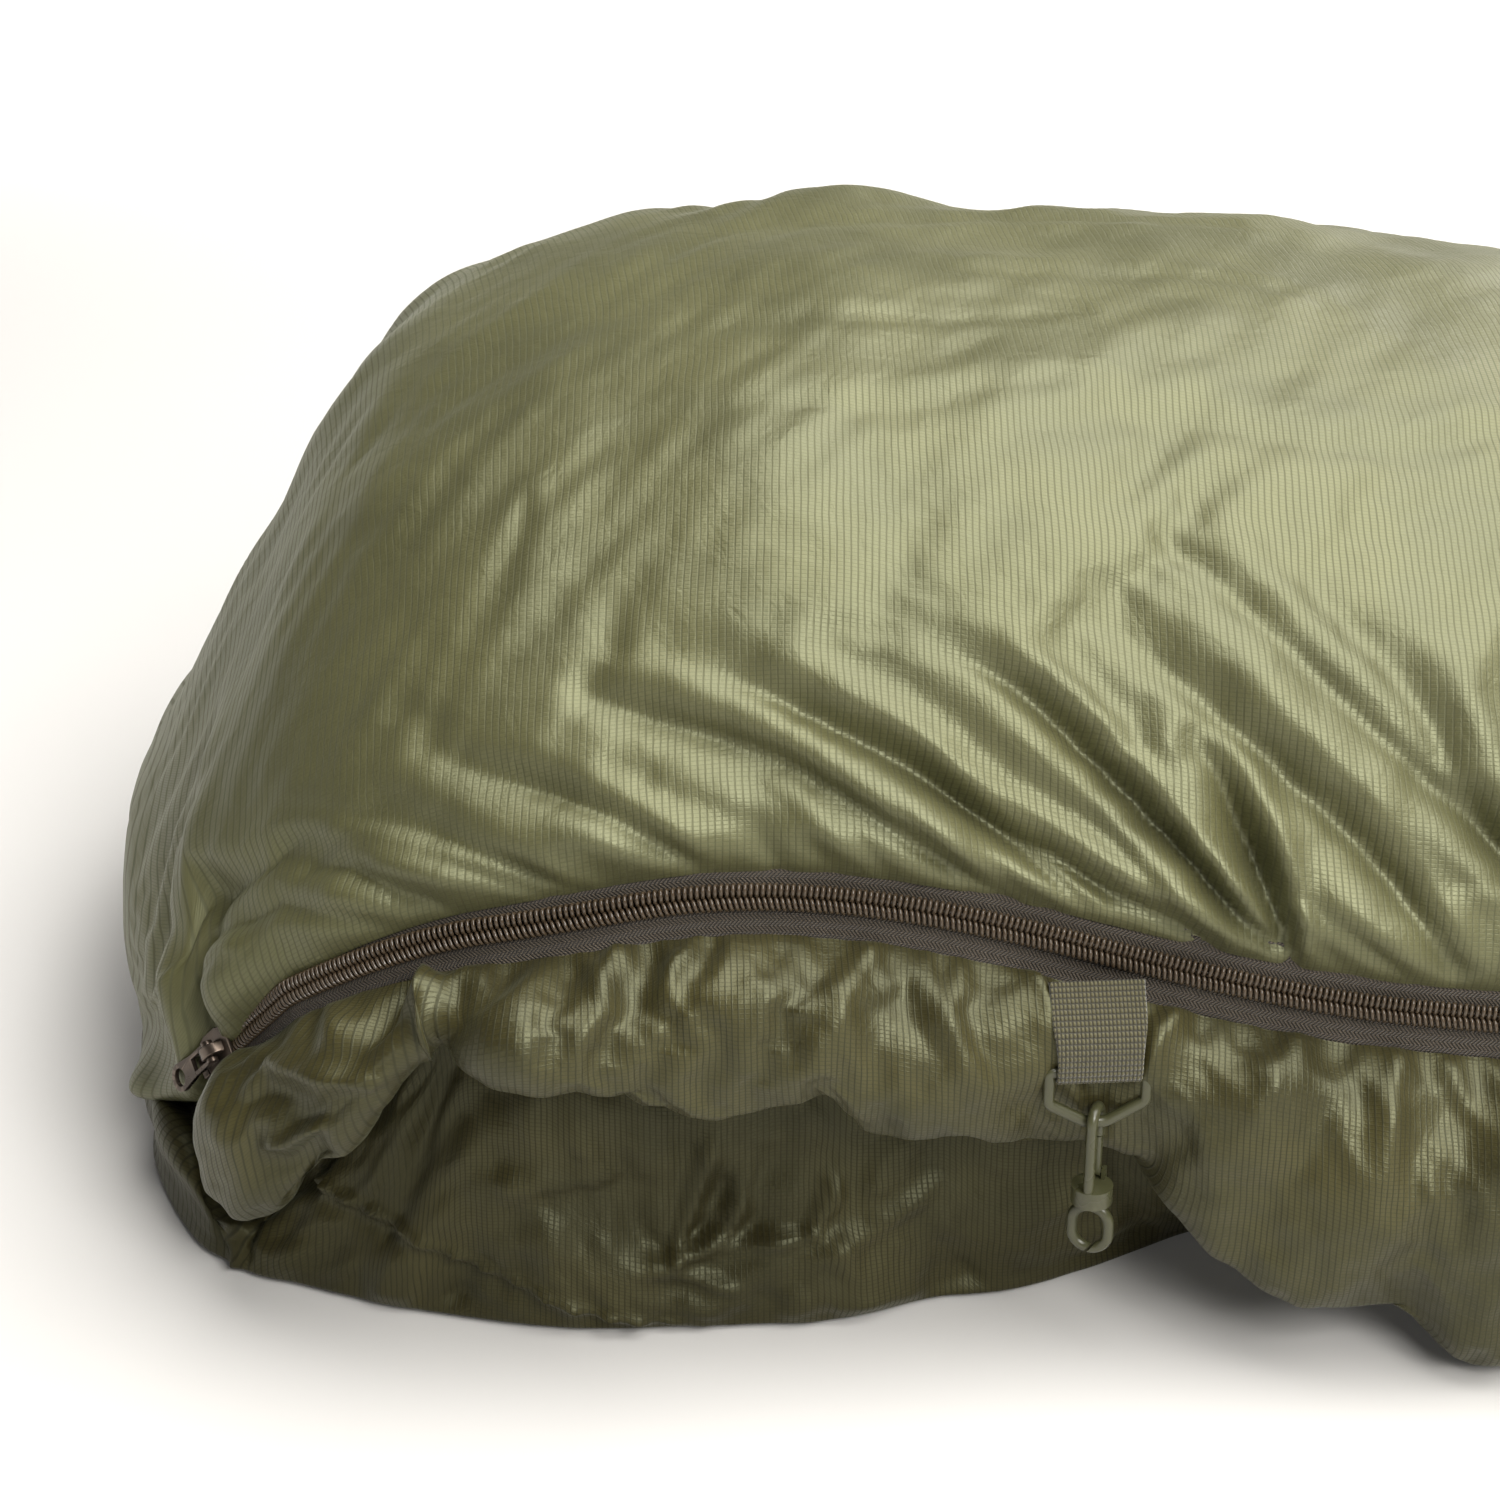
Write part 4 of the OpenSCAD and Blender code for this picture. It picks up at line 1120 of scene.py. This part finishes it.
def make_tab():
    """A doubled strip of webbing, from the lower tape down round the ring's top bar."""
    r = 2.55        # radius of the loop
    front = [(TAB_Y + 8.6, 114), (TAB_Y + 7.0, 111.5), (TAB_Y + 3.6, 108), (TAB_Y - 0.8, 102.5),
             (TAB_Y - 2.6, 97), (TAB_Y - r, LOOP_Z)]
    bottom = [(TAB_Y - r * math.cos(v), LOOP_Z - r * math.sin(v))
              for v in np.linspace(0.35, math.pi - 0.35, 6)]
    back = [(TAB_Y + r, LOOP_Z), (TAB_Y + 2.0, 97), (TAB_Y + 4.2, 102.5), (TAB_Y + 7.5, 107),
            (TAB_Y + 10.5, 110)]
    line = spline(np.array(front + bottom + back)[:, None, :], 150)[0]
    run = run_along(line[None], 1)[0]
    half = table(run, [(0, 12.7), (12, 12.3), (20, 11.3), (30, 11.2), (38, 12.2), (90, 12.5)])
    cols = 56
    w = np.linspace(-1, 1, cols)
    x = TAB_X + half[:, None] * w[None]
    tangent = unit(np.gradient(line, axis=0))
    normal = np.stack([tangent[:, 1], -tangent[:, 0]], -1)
    if normal[20, 0] > 0:
        normal = -normal
    across = half[:, None] * w[None]
    weave = np.sin(math.pi * run[:, None] / WEAVE[0]) * np.sin(math.pi * across / WEAVE[1])
    weave = 0.22 * np.abs(weave)
    weave = weave - 0.35 * (np.abs(w)[None] > 0.97)
    layers = []
    for offset, sign in ((0.62, 1), (-0.62, -1)):
        d = offset + sign * weave
        layers.append(np.stack([x, line[:, None, 0] + d * normal[:, None, 0],
                                line[:, None, 1] + d * normal[:, None, 1]], -1))
    points = np.concatenate([layers[0], layers[1][:, ::-1]], 1)
    cloth = np.stack(np.broadcast_arrays(run[:, None], np.concatenate([across, across[:, ::-1]], 1)), -1)
    rows, around = points.shape[:2]
    j = np.arange(cols - 1)
    foot_cap = np.stack([j, j + 1, around - 2 - j, around - 1 - j], -1)
    faces = np.concatenate([grid_faces(rows, around, wrap=True), foot_cap[:, ::-1],
                            foot_cap + (rows - 1) * around])
    obj = new_object("webbing_tab_cloth", points.reshape(-1, 3), faces, "sack", WEBBING, cloth)
    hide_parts("webbing_tab", "tab_bar_tacks")


# ---- ring

def make_ring():
    """The moulded D-ring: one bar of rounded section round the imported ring's corners."""
    side, drop, flat, apex = 12.9, 9.5, 2.5, 15.5
    corners = np.array([(-side, 0), (-side, -drop), (-flat, -apex), (flat, -apex), (side, -drop), (side, 0)])
    places = []
    for a, b in zip(corners, np.roll(corners, -1, axis=0)):
        count = int(np.linalg.norm(b - a) / 0.3)
        places.append(a + (b - a) * (np.arange(count) / count)[:, None])
    line = np.concatenate(places)
    soft = np.mean([np.roll(line, k, axis=0) for k in range(-4, 5)], axis=0)
    tangent = unit(np.roll(soft, -1, axis=0) - np.roll(soft, 1, axis=0))
    normal = np.stack([tangent[:, 1], -tangent[:, 0]], -1)
    turn = np.arange(20) * 2 * math.pi / 20
    wide = 1.5 * np.sign(np.cos(turn)) * np.abs(np.cos(turn)) ** 0.75
    deep = 1.4 * np.sign(np.sin(turn)) * np.abs(np.sin(turn)) ** 0.75
    plane = soft[:, None] + wide[None, :, None] * normal[:, None]
    points = np.stack([TAB_X + plane[..., 0], TAB_Y + deep[None] + 0 * plane[..., 0],
                       LOOP_Z + plane[..., 1]], -1)
    rows, cols = points.shape[:2]
    faces = grid_faces(rows, cols, wrap=True).tolist()
    last = (rows - 1) * cols
    faces += [[last + k, k, (k + 1) % cols, last + (k + 1) % cols] for k in range(cols)]
    obj = new_object("d_ring_moulded", points.reshape(-1, 3), faces, "ring", PLASTIC)
    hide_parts("d_ring")


# ---- carried-over nodes

def finish_nodes():
    """Hard parts keep their CAD shape, with rounded edges and their own materials."""
    metal = ["slider_foot", "slider_cap_foot", "slider_pull_foot", "slider_head", "slider_cap_head",
             "slider_pull_head", "zip_stop_foot", "zip_stop_head"]
    plastic = ["hook_body", "hook_gate", "hook_swivel"]
    for names, material, width in ((metal, METAL, 0.00035), (plastic, PLASTIC, 0.0003)):
        for obj in [nodes[name] for name in names]:
            obj.data.materials.clear()
            obj.data.materials.append(material)
            weld = obj.modifiers.new("weld", "WELD")
            weld.merge_threshold = 0.00002
            bevel = obj.modifiers.new("bevel", "BEVEL")
            bevel.width = width
            bevel.segments = 3
            bevel.limit_method = "ANGLE"
            bevel.angle_limit = math.radians(35)
            bevel.harden_normals = False
            smooth(obj.data)
            normals = obj.modifiers.new("normals", "WEIGHTED_NORMAL")
            normals.keep_sharp = False


# ---- studio

def make_stage():
    mesh = bpy.data.meshes.new("floor")
    verts = [(x, y, z) for size, z in ((60.0, 0.0), (66.0, 7.0)) for x, y in
             ((-size, -size), (size, -size), (size, size), (-size, size))]
    banks = [(k, k + 4, (k + 1) % 4 + 4, (k + 1) % 4) for k in range(4)]
    mesh.from_pydata(verts, [], [(0, 1, 2, 3)] + banks)
    m = Shader("floor")
    # the far floor glows like a lit sweep
    squeeze = m.new("VectorMath")
    squeeze.operation = "MULTIPLY"
    m.feed(squeeze, {0: m.object_place(), 1: (0.75, 1, 1)})
    away = m.new("VectorMath")
    away.operation = "LENGTH"
    m.feed(away, {0: squeeze.outputs[0]})
    m.feed(m.main, {"Base Color": (0.6, 0.588, 0.572), "Roughness": 0.9, "Specular IOR Level": 0.15,
                    "Emission Color": (1, 0.985, 0.96),
                    "Emission Strength": m.ramp(away.outputs["Value"], 1.3, 3.4, 0.03, 0.95)})
    mesh.materials.append(m.material)
    add_object("floor", mesh)


def aim(obj, place, direction):
    """Puts a lamp or the camera at a place and points it in a direction."""
    obj.location = place
    obj.rotation_mode = "QUATERNION"
    obj.rotation_quaternion = Vector(direction).to_track_quat("-Z", "Y")


def area_light(name, place, target, size, power, colour):
    data = bpy.data.lights.new(name, "AREA")
    data.shape = "RECTANGLE"
    data.size, data.size_y = size
    data.energy = power
    data.color = colour
    obj = add_object(name, data)
    aim(obj, place, Vector(target) - Vector(place))
    return obj


def make_studio():
    world = bpy.data.worlds.new("studio")
    bpy.context.scene.world = world
    world.use_nodes = True
    background = world.node_tree.nodes["Background"]
    background.inputs["Color"].default_value = (1.0, 0.985, 0.96, 1)
    background.inputs["Strength"].default_value = 0.04
    area_light("over_box", (-0.02, -0.2, 1.7), (-0.15, -0.05, 0), (2.1, 2.5), 98, (1, 0.985, 0.955))
    area_light("front_box", (-0.2, -1.7, 1.35), (-0.7, -0.15, 0.15), (0.9, 0.7), 34, (1, 0.985, 0.955))
    area_light("back_box", (0.9, 1.8, 1.2), (-0.4, 0, 0.15), (1.2, 0.9), 18, (1, 0.99, 0.97))
    backdrop = area_light("backdrop_box", (0.6, 3.0, 1.2), (0.6, 3.0, 0), (4.8, 3.6), 80, (1, 0.995, 0.985))
    backdrop.data.spread = math.radians(80)
    bpy.context.scene.view_settings.view_transform = "Standard"
    bpy.context.scene.view_settings.look = "None"


def make_camera():
    data = bpy.data.cameras.new("camera")
    data.lens = 72.0
    data.sensor_width = 36.0
    data.clip_start, data.clip_end = 0.05, 60
    camera = add_object("camera", data)
    target = Vector((-0.865, -0.160, 0.160))
    azimuth, elevation, distance = math.radians(-4), math.radians(25), 0.8
    back = Vector((math.sin(azimuth) * math.cos(elevation), -math.cos(azimuth) * math.cos(elevation),
                   math.sin(elevation)))
    aim(camera, target + back * distance, -back)
    bpy.context.scene.camera = camera


# ---- the whole piece

make_stage()
make_studio()
make_camera()
finish_nodes()
make_upper_shell()
make_side_panel()
make_far_panel()
make_base()
make_tape("zip_tape_upper_cloth", 1)
make_tape("zip_tape_lower_cloth", -1)
make_coil("zip_coil_upper_teeth", 1)
make_coil("zip_coil_lower_teeth", -1)
make_lining()
make_mouth()
make_ring()
make_tab()
